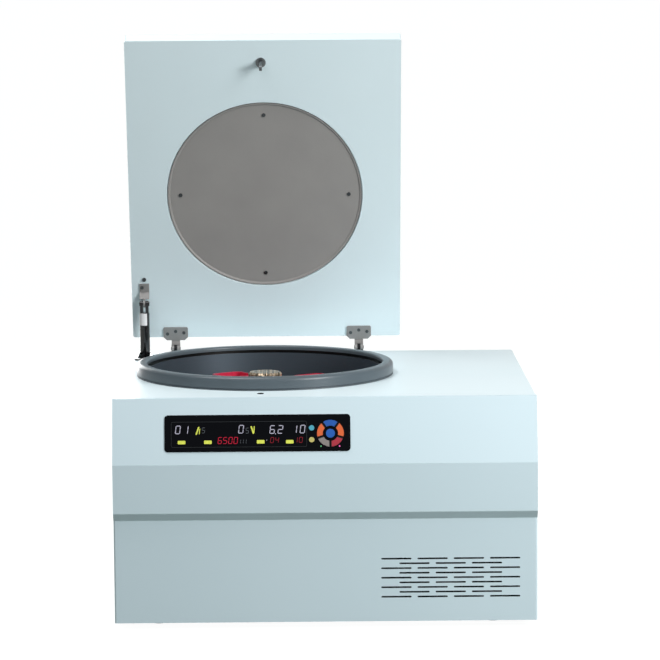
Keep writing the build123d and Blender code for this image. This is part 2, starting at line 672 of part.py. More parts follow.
rack_w = inner_w - 2 * RACK_GAP
rack_low = bucket_low + BUCKET_WALL
rack_top = PIN_Z + BUCKET_RISE - RACK_DROP
rack_face = RectangleRounded(rack_w, rack_w, BUCKET_CORNER_R - BUCKET_WALL)
rack = Pos(0, 0, rack_low) * extrude(rack_face, amount=rack_top - rack_low)
half = TUBE_PITCH / 2
tube_spots = [(0, 0), (half, half), (half, -half), (-half, half), (-half, -half)]
cap_low = rack_top + TUBE_PROUD
for x, y in tube_spots:
    rack += rod(x, y, rack_top, cap_low, TUBE_R)
    rack += rod(x, y, cap_low, cap_low + CAP_H, CAP_R)

for k in range(4):
    spot = rotor_place * Rot(0, 0, 90 * k) * Pos(PIN_PCR, 0, 0)
    save(f"bucket_{k + 1}", spot * shell)
    save(f"tube_rack_{k + 1}", spot * rack)

# ================================================================ lid
lid_right_x = LID_LEFT_X + LID_W
lid_top_z = LID_FACE_Z + LID_H
lid_shell = block(LID_LEFT_X, lid_right_x, lid_front_y, LID_REAR_Y, LID_FACE_Z, lid_top_z)
shell_edges = lid_shell.edges().group_by(Axis.Z)[-1] + lid_shell.edges().filter_by(Axis.Z)
lid_shell = fillet(shell_edges, LID_FOLD_R)
lid_in = (LID_LEFT_X + SHEET, lid_right_x - SHEET, lid_front_y + SHEET, LID_REAR_Y - SHEET)
lid_shell -= block(*lid_in, LID_FACE_Z - 1, lid_top_z - SHEET)
save("lid_outer_shell", opened(lid_shell))

disc_y = CHAMBER_Y
panel = block(*lid_in, LID_FACE_Z, LID_FACE_Z + SHEET)
panel -= rod(LID_X, disc_y, LID_FACE_Z - 1, LID_FACE_Z + SHEET + 1, DISH_R + DISH_SLOPE)
dish_floor = LID_FACE_Z + DISH_DEPTH
dish_profile = [
    (0, dish_floor),
    (DISH_R, dish_floor),
    (DISH_R + DISH_SLOPE, LID_FACE_Z),
    (DISH_R + DISH_SLOPE, LID_FACE_Z + SHEET),
    (DISH_R + 1, dish_floor + SHEET),
    (0, dish_floor + SHEET),
]
panel += turned(dish_profile, LID_X, disc_y)
save("lid_inner_panel", opened(panel))

disc_low = dish_floor - DISC_T
disc = rod(LID_X, disc_y, disc_low, dish_floor, DISH_R - DISC_GAP)
disc_screws = []
for k in range(4):
    a = radians(90 * k)
    x = LID_X + DISC_SCREW_PCR * cos(a)
    y = disc_y + DISC_SCREW_PCR * sin(a)
    disc_screws.append(rod(x, y, disc_low - 1.4, disc_low, DISC_SCREW_R))
save("lid_disc", opened(disc))

foam_top = lid_top_z - SHEET
lid_foam = block(*lid_in, LID_FACE_Z + SHEET, foam_top)
lid_foam -= rod(LID_X, disc_y, LID_FACE_Z, dish_floor + SHEET, DISH_R + DISH_SLOPE)
save("lid_insulation", opened(lid_foam))

# ================================================================ hinges
leaf_y1 = LID_REAR_Y + LEAF_PAST
leaf_y0 = leaf_y1 - LEAF_L
leaf_low = LID_FACE_Z - LEAF_T
leaves = []
leaf_screws = []
brackets = []
ear_in = KNUCKLE_W / 2 + EAR_GAP
ear_out = ear_in + EAR_T
for x in HINGE_X:
    plate = Rectangle(LEAF_W, LEAF_L)
    plate = fillet(plate.vertices().group_by(Axis.Y)[0], 3)
    plate = chamfer(plate.vertices().group_by(Axis.Y)[-1], LEAF_CHAMFER)
    leaf = Pos(x, (leaf_y0 + leaf_y1) / 2, leaf_low) * extrude(plate, amount=LEAF_T)
    crank = [
        (leaf_y1 - 3, leaf_low),
        (leaf_y1 - 3, LID_FACE_Z),
        (HINGE_Y + KNUCKLE_R - 3, LID_FACE_Z),
        (HINGE_Y + KNUCKLE_R, LID_FACE_Z - 3),
        (HINGE_Y + KNUCKLE_R, HINGE_Z),
        (HINGE_Y - KNUCKLE_R, HINGE_Z),
        (HINGE_Y - KNUCKLE_R, leaf_low - 5),
        (HINGE_Y - KNUCKLE_R - 3, leaf_low),
    ]
    leaf += side_profile(crank, x - KNUCKLE_W / 2, x + KNUCKLE_W / 2)
    leaf += bar_x(x - KNUCKLE_W / 2, x + KNUCKLE_W / 2, HINGE_Y, HINGE_Z, KNUCKLE_R)
    leaf -= bar_x(x - KNUCKLE_W, x + KNUCKLE_W, HINGE_Y, HINGE_Z, HINGE_PIN_R + RUN_FIT)
    leaves.append(opened(leaf))
    for dx, dy in ((-15, 13), (0, 8), (15, 11)):
        screw = rod(x + dx, leaf_y0 + dy, leaf_low - 1.2, leaf_low, LEAF_SCREW_R)
        leaf_screws.append(screw)
    front = HINGE_Y + KNUCKLE_R - BRACKET_L
    foot = block(x - ear_out, x + ear_out, front, HINGE_Y + KNUCKLE_R, DECK_Z, DECK_Z + BRACKET_T)
    for side in (-1, 1):
        x0 = x + side * ear_in
        x1 = x + side * ear_out
        ear = block(
            min(x0, x1),
            max(x0, x1),
            HINGE_Y - KNUCKLE_R,
            HINGE_Y + KNUCKLE_R,
            DECK_Z,
            HINGE_Z,
        )
        foot += ear + bar_x(min(x0, x1), max(x0, x1), HINGE_Y, HINGE_Z, KNUCKLE_R)
    foot += bar_x(x - ear_out - 1, x + ear_out + 1, HINGE_Y, HINGE_Z, HINGE_PIN_R)
    foot += rod(x, front + 5, DECK_Z + BRACKET_T, DECK_Z + BRACKET_T + 2, 3)
    brackets.append(foot)
save("hinge_leaves", *leaves)
save("hinge_brackets", *brackets)

# ================================================================ lid lock
striker_low = LID_FACE_Z - STRIKER_L
eye_z = striker_low + STRIKER_W / 2 + 1
striker = rod(LOCK_X, lock_y, LID_FACE_Z - STRIKER_FLANGE_T, LID_FACE_Z, STRIKER_FLANGE_R)
striker += rod(LOCK_X, lock_y, LID_FACE_Z - 14, LID_FACE_Z - STRIKER_FLANGE_T, STRIKER_W / 2)
hook_x = (LOCK_X - STRIKER_T / 2, LOCK_X + STRIKER_T / 2)
hook_y = (lock_y - STRIKER_W / 2, lock_y + STRIKER_W / 2)
striker += block(*hook_x, *hook_y, eye_z, LID_FACE_Z - 12)
striker += bar_x(*hook_x, lock_y, eye_z, STRIKER_W / 2)
striker -= bar_x(LOCK_X - 10, LOCK_X + 10, lock_y, eye_z, STRIKER_EYE_R)
save("lock_striker", opened(striker))

lock_top = DECK_UNDER
lock_x = (LOCK_X - LOCK_BODY_W / 2, LOCK_X + LOCK_BODY_W / 2)
lock_yy = (lock_y - LOCK_BODY_L / 2, lock_y + LOCK_BODY_L / 2)
lock_body = block(*lock_x, *lock_yy, lock_top - LOCK_BODY_H, lock_top)
well = Rot(0, 0, 90) * SlotOverall(LOCK_SLOT_L, LOCK_SLOT_W)
lock_body -= Pos(LOCK_X, lock_y, striker_low - 3) * extrude(well, amount=40)
tip_x = LOCK_X - STRIKER_T / 2 - BOLT_BACK
bore_end = tip_x + BOLT_TRAVEL + 1
lock_body -= bar_x(lock_x[0] - 1, bore_end, lock_y, eye_z, BOLT_R + RUN_FIT)
solenoid_x = lock_x[0] - SOLENOID_L
solenoid = bar_x(solenoid_x, lock_x[0], lock_y, eye_z, SOLENOID_R)
solenoid -= bar_x(solenoid_x + 2, lock_x[0] + 1, lock_y, eye_z, BOLT_R + RUN_FIT)
save("lock_housing", lock_body + solenoid)
save("lock_bolt", bar_x(tip_x - SOLENOID_L - 4, tip_x, lock_y, eye_z, BOLT_R))

# ================================================================ gas strut
up_y = LID_REAR_Y - STRUT_UP_LID
up_z = LID_FACE_Z - STRUT_OFF_LID
tab_x = (STRUT_X - TAB_T / 2, STRUT_X + TAB_T / 2)
plate_y0 = up_y - 32
plate_y1 = up_y - 8
tab_outline = [
    (plate_y0 + 8, LID_FACE_Z),
    (plate_y1, LID_FACE_Z),
    (up_y + 6, up_z + 3),
    (up_y + 6, up_z - 2),
    (up_y - 6, up_z - 2),
]
lid_bracket = block(STRUT_X - 7, STRUT_X + 7, plate_y0, plate_y1, LID_FACE_Z - SHEET, LID_FACE_Z)
lid_bracket += side_profile(tab_outline, *tab_x)
lid_bracket += bar_x(*tab_x, up_y, up_z, 6.5)
lid_bracket -= bar_x(STRUT_X - 5, STRUT_X + 5, up_y, up_z, STRUT_PIN_R + RUN_FIT)
save("strut_lid_bracket", opened(lid_bracket))
bracket_bolt = rod(STRUT_X - 4, plate_y0 + 6, LID_FACE_Z - SHEET - 2.2, LID_FACE_Z - SHEET, 3)
spare_screw = rod(STRUT_X, plate_y0 - 9, LID_FACE_Z - 2, LID_FACE_Z, 3.6)
lid_screws = disc_screws + leaf_screws + [bracket_bolt, spare_screw]
save("lid_screws", *[opened(s) for s in lid_screws])

swing = radians(LID_OPEN)
dy = up_y - HINGE_Y
dz = up_z - HINGE_Z
top_y = HINGE_Y + dy * cos(swing) + dz * sin(swing)
top_z = HINGE_Z - dy * sin(swing) + dz * cos(swing)
strut_l = ((STRUT_FOOT_Y - top_y) ** 2 + (STRUT_FOOT_Z - top_z) ** 2) ** 0.5
STRUT = Plane(
    origin=(STRUT_X, top_y, top_z),
    x_dir=(1, 0, 0),
    z_dir=(0, (STRUT_FOOT_Y - top_y) / strut_l, (STRUT_FOOT_Z - top_z) / strut_l),
).location

clevis = Pos(0, 0, 8) * Box(CLEVIS_T, CLEVIS_W, 16)
clevis += Rot(0, 90, 0) * Cylinder(CLEVIS_W / 2, CLEVIS_T)
clevis += rod(0, 0, 14, TUBE_START, 6)
clevis -= Pos(0, 0, 2) * Box(TAB_T + 1, CLEVIS_W + 2, 18)
clevis += bar_x(-CLEVIS_T / 2 - 2, CLEVIS_T / 2 + 1, 0, 0, STRUT_PIN_R)
clevis += bar_x(CLEVIS_T / 2, CLEVIS_T / 2 + 2, 0, 0, STRUT_PIN_R + 1.5)
tube = rod(0, 0, TUBE_START, TUBE_END, STRUT_TUBE_R)
tube_bore = STRUT_TUBE_R - STRUT_TUBE_WALL
tube -= rod(0, 0, TUBE_START + 4, TUBE_END - 8, tube_bore)
tube -= rod(0, 0, TUBE_END - 10, TUBE_END + 1, ROD_R + RUN_FIT)
save("strut_cylinder", STRUT * (clevis + tube))
strut_rod = rod(0, 0, PISTON_AT, strut_l - EYE_R + 1, ROD_R)
strut_rod += rod(0, 0, PISTON_AT, PISTON_AT + PISTON_H, tube_bore - 0.1)
eye = Pos(0, 0, strut_l) * Rot(0, 90, 0)
strut_rod += eye * Cylinder(EYE_R, EYE_T)
strut_rod -= eye * Cylinder(EYE_BORE_R, EYE_T + 2)
save("strut_rod", STRUT * strut_rod)

anchor_x = STRUT_X - ROD_R - ANCHOR_GAP
anchor = Pos(-INNER_X + ANCHOR_T / 2, STRUT_FOOT_Y, STRUT_FOOT_Z)
anchor *= Box(ANCHOR_T, ANCHOR_W, ANCHOR_H)
anchor += bar_x(-INNER_X, anchor_x, STRUT_FOOT_Y, STRUT_FOOT_Z, 4)
save("left_side_panel", left_side + anchor)

trim = RectangleRounded(
    STRUT_SLOT_W + 2 * TRIM_W, STRUT_SLOT_L + 2 * TRIM_W, SLOT_R + TRIM_W
)
trim -= RectangleRounded(STRUT_SLOT_W - 1, STRUT_SLOT_L - 1, SLOT_R - 0.5)
trim = Pos(STRUT_X, slot_mid, DECK_Z) * extrude(trim, amount=TRIM_H)
save("strut_slot_trim", trim)

# ================================================================ control window and keys
window_sk = window_place * RectangleRounded(WINDOW_L, WINDOW_H, WINDOW_R)
pad_place = Pos(PAD_X, -PAD_DOWN)
ring_sk = Circle(PAD_R) - Circle(PAD_BORE_R)
for k in range(PAD_KEYS):
    spoke = Pos((PAD_R + PAD_BORE_R) / 2, 0) * Rectangle(PAD_R, PAD_GAP)
    ring_sk -= Rot(0, 0, 90 + 180 / PAD_KEYS + 360 / PAD_KEYS * k) * spoke
segments = ring_sk.faces()
segments = sorted(segments, key=lambda f: degrees(atan2(f.center().Y, f.center().X)) % 360)
key_sketches = {}
for name, face in zip(("right", "top", "left", "lower_left", "lower_right"), segments):
    key_sketches[f"key_{name}"] = Sketch() + pad_place * face
key_sketches["key_centre"] = pad_place * Circle(CENTRE_KEY_R)
for name, drop in zip(("upper", "lower"), ROUND_KEY_DROPS):
    spot = Pos(PAD_X - ROUND_KEY_LEFT, -WINDOW_DOWN - drop)
    key_sketches[f"key_round_{name}"] = spot * Circle(ROUND_KEY_R)

window = on_console(window_sk, 0, WINDOW_T)
board_sk = window_place * Rectangle(aperture_l - 4, aperture_h - 2)
board_top = BOARD_T - BOARD_DEPTH
board = on_console(board_sk, -BOARD_DEPTH, board_top)
digits_sk = Pos(DISPLAY_X, -WINDOW_DOWN) * Rectangle(DISPLAY_L, DISPLAY_H)
board += on_console(digits_sk, board_top, 0)
switch_top = -KEY_DEPTH - KEY_TRAVEL - 0.1
lip_top = -KEY_GAP
for name, sk in key_sketches.items():
    hole = offset(sk, KEY_GAP, kind=Kind.INTERSECTION)
    lip = offset(sk, KEY_LIP, kind=Kind.INTERSECTION)
    window -= on_console(hole, -1, WINDOW_T + 1)
    key = on_console(sk, -KEY_DEPTH, WINDOW_T + KEY_PROUD)
    key += on_console(lip, lip_top - 0.8, lip_top)
    save(name, key)
    mid = sk.faces()[0].center()
    board += on_console(Pos(mid.X, mid.Y) * Circle(SWITCH_R), board_top, switch_top)
for out in LAMP_OUT:
    lamp = Pos(PAD_X + out, -WINDOW_DOWN - LAMP_DROP) * Circle(LAMP_R)
    window -= on_console(lamp, -1, WINDOW_T + 1)
    board += on_console(lamp, board_top, WINDOW_T)
save("control_window", window)
save("control_board", board)

# ================================================================ cooling
bulkhead = block(BULKHEAD_X, BULKHEAD_X + SHEET, RETURN_Y, REAR_Y - SHEET, BASE_TOP, DECK_UNDER)
bulkhead -= pipe_gap
shelf_y = (RETURN_Y + SHELF_BACK, RETURN_Y + SHELF_BACK + SHELF_L)
bulkhead += block(BULKHEAD_X, INNER_X, *shelf_y, SHELF_Z, SHELF_Z + SHEET)
save("bulkhead", bulkhead)

cond_x = (BULKHEAD_X + SHEET, INNER_X - COND_GAP)
cond_mid = sum(cond_x) / 2
condenser = block(*cond_x, COND_Y, COND_Y + COND_T, BASE_TOP, BASE_TOP + COND_H)
fin_pitch = (cond_x[1] - cond_x[0] - COND_RIM) / COND_FINS
for k in range(COND_FINS):
    x = cond_x[0] + COND_RIM / 2 + fin_pitch * (k + 0.5)
    condenser -= block(
        x - fin_pitch * 0.35,
        x + fin_pitch * 0.35,
        COND_Y - 1,
        COND_Y + COND_T * 0.4,
        BASE_TOP + COND_RIM,
        BASE_TOP + COND_H - COND_RIM,
    )
fan_z = BASE_TOP + COND_H / 2
shroud_y = COND_Y + COND_T
fan_y = shroud_y + SHROUD_T + FAN_GAP
shroud_back = fan_y + FAN_W + SHROUD_T
shroud = block(*cond_x, shroud_y, shroud_back, BASE_TOP, BASE_TOP + COND_H)
shroud -= bar_y(cond_mid, shroud_y, shroud_back + 1, fan_z, FAN_R + FAN_TIP)
save("condenser", condenser)
fan_motor_y = shroud_back + FAN_GAP
save("fan_shroud", shroud)
fan = bar_y(cond_mid, fan_y, fan_y + FAN_W, fan_z, FAN_HUB_R)
blade_l = FAN_R - FAN_HUB_R
for k in range(FAN_BLADES):
    blade = Pos(FAN_HUB_R - 2 + blade_l / 2, fan_y + FAN_W / 2, 0)
    blade *= Rot(BLADE_PITCH, 0, 0) * Box(blade_l, BLADE_T, BLADE_CHORD)
    fan += Pos(cond_mid, 0, fan_z) * Rot(0, 360 / FAN_BLADES * k, 0) * blade
fan_shaft_end = fan_motor_y + FAN_MOTOR_L / 2
fan += bar_y(cond_mid, fan_y + FAN_W, fan_shaft_end - 2, fan_z, FAN_SHAFT_R)
save("fan_rotor", fan)
fan_motor = bar_y(cond_mid, fan_motor_y, fan_motor_y + FAN_MOTOR_L, fan_z, FAN_MOTOR_R)
post_x = (cond_mid - FAN_POST, cond_mid + FAN_POST)
post_y = (fan_motor_y + 8, fan_motor_y + FAN_MOTOR_L - 8)
fan_motor += block(*post_x, *post_y, BASE_TOP, fan_z)
fan_motor -= bar_y(cond_mid, fan_motor_y - 1, fan_shaft_end, fan_z, FAN_SHAFT_R + RUN_FIT)
save("fan_motor", fan_motor)

comp_low = BASE_TOP + MOUNT_H
can = rod(COMP_X, COMP_Y, comp_low + COMP_RIM_T, comp_low + COMP_H, COMP_R)
can = fillet(can.edges().group_by(Axis.Z)[-1], COMP_DOME_R)
can += rod(COMP_X, COMP_Y, comp_low, comp_low + COMP_RIM_T, COMP_R + COMP_RIM)
save("compressor", can)

drive_x = (BULKHEAD_X + SHEET + DRIVE_INSET, INNER_X - DRIVE_INSET)
drive_y = (shelf_y[0] + DRIVE_INSET, shelf_y[1] - DRIVE_INSET)
drive_top = SHELF_Z + SHEET + DRIVE_H
drive_box = block(*drive_x, *drive_y, SHELF_Z + SHEET, drive_top)
for k in range(DRIVE_FINS):
    x = sum(drive_x) / 2 + (k - (DRIVE_FINS - 1) / 2) * DRIVE_FIN_PITCH
    fin_gap = (x - DRIVE_FIN_GAP / 2, x + DRIVE_FIN_GAP / 2)
    drive_box -= block(*fin_gap, drive_y[0] - 1, drive_y[1] + 1, drive_top - DRIVE_FIN_H, drive_top + 1)
save("motor_drive_unit", drive_box)

# ================================================================ mains inlet and switch
socket_back = REAR_Y + INLET_RIM - SOCKET_DEPTH
inlet = Pos(INLET_X, REAR_Y + INLET_RIM / 2, INLET_Z) * Box(INLET_W, INLET_RIM, INLET_H)
inlet += Pos(INLET_X, REAR_Y - INLET_DEPTH / 2, INLET_Z) * Box(inlet_hole[0], INLET_DEPTH, inlet_hole[1])
inlet -= Pos(INLET_X, socket_back + SOCKET_DEPTH, INLET_Z) * Box(SOCKET_W, 2 * SOCKET_DEPTH, SOCKET_H)
for x, z in PRONGS:
    prong = Pos(INLET_X + x, socket_back + PRONG_L / 2, INLET_Z + z)
    inlet += prong * Box(PRONG_T, PRONG_L, PRONG_W)
bridge_x = (INLET_X + INLET_W / 2, ROCKER_X - ROCKER_W / 2)
bridge = block(*bridge_x, REAR_Y, REAR_Y + INLET_RIM / 2, INLET_Z - 12, INLET_Z + 12)
frame = Pos(ROCKER_X, REAR_Y + 1, INLET_Z) * Box(ROCKER_W + 8, 2, ROCKER_H + 8)
frame += Pos(ROCKER_X, REAR_Y - INLET_DEPTH / 2, INLET_Z) * Box(ROCKER_W + 4, INLET_DEPTH, ROCKER_H + 4)
frame -= Pos(ROCKER_X, REAR_Y, INLET_Z) * Box(ROCKER_W, 2 * INLET_DEPTH - 8, ROCKER_H)
rocker_y = REAR_Y - ROCKER_IN
rocker_r = ROCKER_H / 2 - ROCKER_GAP
rocker_pin = bar_x(ROCKER_X - ROCKER_W / 2 - 1.5, ROCKER_X + ROCKER_W / 2 + 1.5, rocker_y, INLET_Z, 2)
frame -= bar_x(
    ROCKER_X - ROCKER_W / 2 - 1.6,
    ROCKER_X + ROCKER_W / 2 + 1.6,
    rocker_y,
    INLET_Z,
    2 + RUN_FIT,
)
save("power_inlet", inlet + bridge + frame)
rocker_outline = [
    (rocker_y - 5, INLET_Z - 8),
    (rocker_y + 7, INLET_Z - rocker_r + 3),
    (rocker_y + 9, INLET_Z - rocker_r + 4),
    (rocker_y + 7, INLET_Z),
    (rocker_y + 9, INLET_Z + rocker_r - 4),
    (rocker_y + 7, INLET_Z + rocker_r - 3),
    (rocker_y - 5, INLET_Z + 8),
]
half_w = ROCKER_W / 2 - ROCKER_GAP
rocker = side_profile(rocker_outline, ROCKER_X - half_w, ROCKER_X + half_w)
rocker += rocker_pin
rocker_axis = Axis((0, rocker_y, INLET_Z), (1, 0, 0))
save("switch_rocker", rocker.rotate(rocker_axis, -ROCKER_TILT))
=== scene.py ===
import math

import bmesh
import bpy
from mathutils import Matrix, Vector


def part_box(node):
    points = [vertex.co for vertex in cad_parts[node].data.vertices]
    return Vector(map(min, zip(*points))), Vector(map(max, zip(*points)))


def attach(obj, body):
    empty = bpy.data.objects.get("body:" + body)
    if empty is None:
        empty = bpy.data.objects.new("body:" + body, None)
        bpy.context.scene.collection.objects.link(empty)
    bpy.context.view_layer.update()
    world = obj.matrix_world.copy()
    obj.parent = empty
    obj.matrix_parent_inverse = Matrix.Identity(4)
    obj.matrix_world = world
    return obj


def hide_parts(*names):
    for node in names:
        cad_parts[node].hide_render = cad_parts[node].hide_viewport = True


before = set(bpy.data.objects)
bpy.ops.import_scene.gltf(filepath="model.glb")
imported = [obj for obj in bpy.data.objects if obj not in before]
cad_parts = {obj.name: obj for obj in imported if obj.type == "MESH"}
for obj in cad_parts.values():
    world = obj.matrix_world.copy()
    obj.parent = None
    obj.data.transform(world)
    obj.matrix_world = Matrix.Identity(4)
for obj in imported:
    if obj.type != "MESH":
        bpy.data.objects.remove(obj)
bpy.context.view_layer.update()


# ---------------------------------------------------------------- cabinet
# The cabinet is folded steel sheet in bluish-white oven enamel: a deck, two
# sides, a rear panel, a one-piece console and a slotted lower front. The
# enamel has a faint orange-peel skin and a slight cloudiness of tone. The
# walls inside its slots are painted near-black as shade.
class Wire:
    """One output of a shader node, written in sums as if it were a number."""

    def __init__(self, nodes, socket):
        self.nodes = nodes
        self.socket = socket

    def sum(self, operation, *values):
        return self.nodes.node("Math", dict(enumerate(values)), operation=operation)

    def __add__(self, other):
        return self.sum("ADD", self, other)

    def __sub__(self, other):
        return self.sum("SUBTRACT", self, other)

    def __rsub__(self, other):
        return self.sum("SUBTRACT", other, self)

    def __mul__(self, other):
        return self.sum("MULTIPLY", self, other)

    def __pow__(self, other):
        return self.sum("POWER", self, other)

    def __gt__(self, other):
        return self.sum("GREATER_THAN", self, other)

    def __lt__(self, other):
        return self.sum("LESS_THAN", self, other)

    def __abs__(self):
        return self.sum("ABSOLUTE", self)

    __radd__ = __add__
    __rmul__ = __mul__


class Nodes:
    """A node tree, and the one method that adds any node to it."""

    def __init__(self, tree):
        self.tree = tree

    def node(self, kind, sockets=None, stops=(), out=0, **settings):
        made = self.tree.nodes.new("ShaderNode" + kind)
        for setting, value in settings.items():
            setattr(made, setting, value)
        for k, (at, colour) in enumerate(stops):
            ramp = made.color_ramp.elements
            stop = ramp[k] if k < 2 else ramp.new(at)
            stop.position = at
            stop.color = (*colour, 1.0)
        for socket, value in (sockets or {}).items():
            self.feed(made.inputs[socket], value)
        return Wire(self, made.outputs[out])

    def feed(self, socket, value):
        if isinstance(value, Wire):
            self.tree.links.new(value.socket, socket)
        else:
            socket.default_value = value

    def mix(self, amount, low, high):
        tints = [c if isinstance(c, Wire) else (*c, 1.0) for c in (low, high)]
        return self.node("Mix", {0: amount, 6: tints[0], 7: tints[1]}, out=2, data_type="RGBA")


class Finish(Nodes):
    """A material: even values are set on its shader, uneven ones are wired to it."""

    def __init__(self, name, **even):
        self.material = bpy.data.materials.new(name)
        self.material.use_nodes = True
        super().__init__(self.material.node_tree)
        self.shader = self.tree.nodes["Principled BSDF"]
        for socket, value in even.items():
            self.shader.inputs[socket.replace("_", " ")].default_value = value
        self.place = self.node("TexCoord", out="Object")

    def wear(self, **wired):
        for socket, value in wired.items():
            self.feed(self.shader.inputs[socket.replace("_", " ")], value)
        return self

    def noise(self, scale, detail=3.0, place=None):
        place = place or self.place
        return self.node("TexNoise", {"Vector": place, "Scale": scale, "Detail": detail})

    def stretched(self, x, y, z):
        return self.node("VectorMath", {0: self.place, 1: (x, y, z)}, operation="MULTIPLY")

    def along(self, letter):
        return self.node("SeparateXYZ", {0: self.place}, out=letter)

    def bump(self, height, depth):
        return self.node("Bump", {"Height": height, "Distance": depth})


def srgb(red, green, blue):
    """A colour given in 0 to 255 display steps, as the shader takes it."""
    steps = (red / 255, green / 255, blue / 255)
    return tuple(s / 12.92 if s < 0.04045 else ((s + 0.055) / 1.055) ** 2.4 for s in steps)


def dress(finish, *nodes):
    """Put a finish on the machine's own pieces."""
    for node in nodes:
        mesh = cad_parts[node].data
        mesh.materials.clear()
        mesh.materials.append(finish.material)


# Near-black painted shade for the walls inside the sheet's slots.
SLOT_PAINTED_SHADE = srgb(16, 17, 18)


def enamel(name, colour, shade, gloss, slots=None):
    """Oven enamel on steel sheet, with the walls inside its slots painted near-black as shade
    where their spans are given.
    """
    paint = Finish(name, Coat_Roughness=0.12, Coat_Weight=gloss, Specular_IOR_Level=0.35)
    cloud = paint.noise(3.5, 4.0)
    skin = paint.noise(520.0, 2.0)
    tint = paint.mix(cloud, colour, shade)
    if slots:
        inside = 1.0
        for letter, (low, high) in slots.items():
            inside = (paint.along(letter) > low) * (paint.along(letter) < high) * inside
        # Paint the walls inside the slots near-black as shade.
        tint = paint.mix(inside, tint, SLOT_PAINTED_SHADE)
    return paint.wear(
        Base_Color=tint,
        Roughness=0.34 + cloud * 0.12,
        Normal=paint.bump(skin, 0.00003),
    )


CABINET_WHITE = srgb(229, 242, 246)
CABINET_SHADE = srgb(222, 238, 242)
CABINET_GLOSS = 0.12
cabinet_enamel = enamel("cabinet_enamel", CABINET_WHITE, CABINET_SHADE, CABINET_GLOSS)
dress(cabinet_enamel, "left_side_panel", "right_side_panel", "rear_panel")

# A slot's walls begin just under the sheet's face and run through the sheet; the enamel paints
# these walls near-black as shade.
WALL_START, WALL_END = 0.0003, 0.0022
deck_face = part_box("deck_panel")[1].z
lock_low, lock_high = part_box("lock_housing")
LOCK_SLOT = {
    "X": (-0.13, -0.085),
    "Y": (lock_low.y, lock_high.y),
    "Z": (deck_face - WALL_END, deck_face - WALL_START),
}
deck_enamel = enamel("deck_enamel", CABINET_WHITE, CABINET_SHADE, CABINET_GLOSS, LOCK_SLOT)
dress(deck_enamel, "deck_panel")

FRONT_WHITE = srgb(213, 230, 237)
FRONT_SHADE = srgb(207, 226, 233)
FRONT_GLOSS = 0.1
front_enamel = enamel("front_enamel", FRONT_WHITE, FRONT_SHADE, FRONT_GLOSS)
dress(front_enamel, "console_cover")
front_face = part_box("lower_front_panel")[0].y
# Spans of the louvre slots, whose walls are painted near-black as shade.
LOUVRES = {
    "X": (0.08, 0.335),
    "Y": (front_face + WALL_START, front_face + WALL_END),
    "Z": (0.045, 0.125),
}
louvred_enamel = enamel("louvred_enamel", FRONT_WHITE, FRONT_SHADE, FRONT_GLOSS, LOUVRES)
dress(louvred_enamel, "lower_front_panel")


# ---------------------------------------------------------------- base and feet
# The machine stands on a galvanised base plate with three welded pillars for
# the drive, and on four turned rubber feet pushed into it from below.
def metal(name, colour, shade, rough, grain=(60.0, 60.0, 60.0), depth=0.00002):
    """Plated, rolled or cast metal with its grain along the smallest stretch."""
    plate = Finish(name, Metallic=1.0)
    cloud = plate.noise(9.0, 5.0)
    lines = plate.noise(1.0, 3.0, plate.stretched(*grain))
    return plate.wear(
        Base_Color=plate.mix(cloud * 0.6 + lines * 0.4, colour, shade),
        Roughness=rough + cloud * 0.12 + lines * 0.08,
        Normal=plate.bump(lines, depth),
    )


def rubber(name, colour, shade, rough):
    """Moulded black or grey rubber, dull, with a fine dusty skin."""
    skin = Finish(name, Specular_IOR_Level=0.4)
    dust = skin.noise(16.0, 6.0)
    fine = skin.noise(900.0, 2.0)
    return skin.wear(
        Base_Color=skin.mix(dust, colour, shade),
        Roughness=rough + dust * 0.14,
        Normal=skin.bump(fine, 0.00003),
    )


galvanised = metal("dull_galvanised", srgb(92, 95, 97), srgb(70, 73, 75), 0.45)
dress(galvanised, "base_plate", "bulkhead")
black_rubber = rubber("black_rubber", srgb(26, 26, 27), srgb(38, 38, 39), 0.55)
dress(black_rubber, "feet", "vibration_dampers", "shaft_boot")


# ---------------------------------------------------------------- chamber
# The bowl is spun from stainless sheet, so its fine lines run round its wall
# and its floor. Cooling coil and foam lie round it inside an armour barrel,
# and a fat grey rubber gasket is pushed over its rolled flange.
bowl_low, bowl_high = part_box("bowl")
chamber_x = (bowl_low.x + bowl_high.x) / 2
chamber_y = (bowl_low.y + bowl_high.y) / 2


def spun(name, colour, shade, rough, depth, metallic=1.0):
    """Metal turned about the chamber's axis: lines by radius and by height."""
    sheet = Finish(name, Metallic=metallic)
    x = sheet.along("X") - chamber_x
    y = sheet.along("Y") - chamber_y
    radius = (x * x + y * y) ** 0.5
    bearing = sheet.node("Math", {0: y, 1: x}, operation="ARCTAN2")
    place = sheet.node(
        "CombineXYZ", {0: radius * 900.0, 1: bearing * 1.5, 2: sheet.along("Z") * 900.0}
    )
    lines = sheet.noise(1.0, 2.0, place)
    cloud = sheet.noise(7.0, 3.0)
    return sheet.wear(
        Base_Color=sheet.mix(lines * 0.5 + cloud * 0.5, colour, shade),
        Roughness=rough + lines * 0.1,
        Normal=sheet.bump(lines, depth),
    )


steel = spun("spun_stainless", srgb(86, 97, 106), srgb(72, 83, 92), 0.4, 0.00003, 0.6)
dress(steel, "bowl")
COIL_GRAIN = (20.0, 20.0, 700.0)
copper = metal("copper_coil", srgb(196, 120, 84), srgb(160, 90, 62), 0.35, COIL_GRAIN)
dress(copper, "evaporator_jacket")
armour = metal("armour_steel", srgb(96, 98, 100), srgb(70, 72, 74), 0.45)
dress(armour, "guard_barrel", "compressor")

foam = Finish("insulation_foam")
cells = foam.node("TexVoronoi", {"Vector": foam.place, "Scale": 480.0})
foam_tint = foam.mix(foam.noise(12.0), srgb(226, 214, 170), srgb(206, 190, 140))
foam.wear(Base_Color=foam_tint, Roughness=0.8 + cells * 0.1, Normal=foam.bump(cells, 0.0004))
dress(foam, "chamber_insulation", "lid_insulation")


CREASE_ANGLE = math.radians(32)


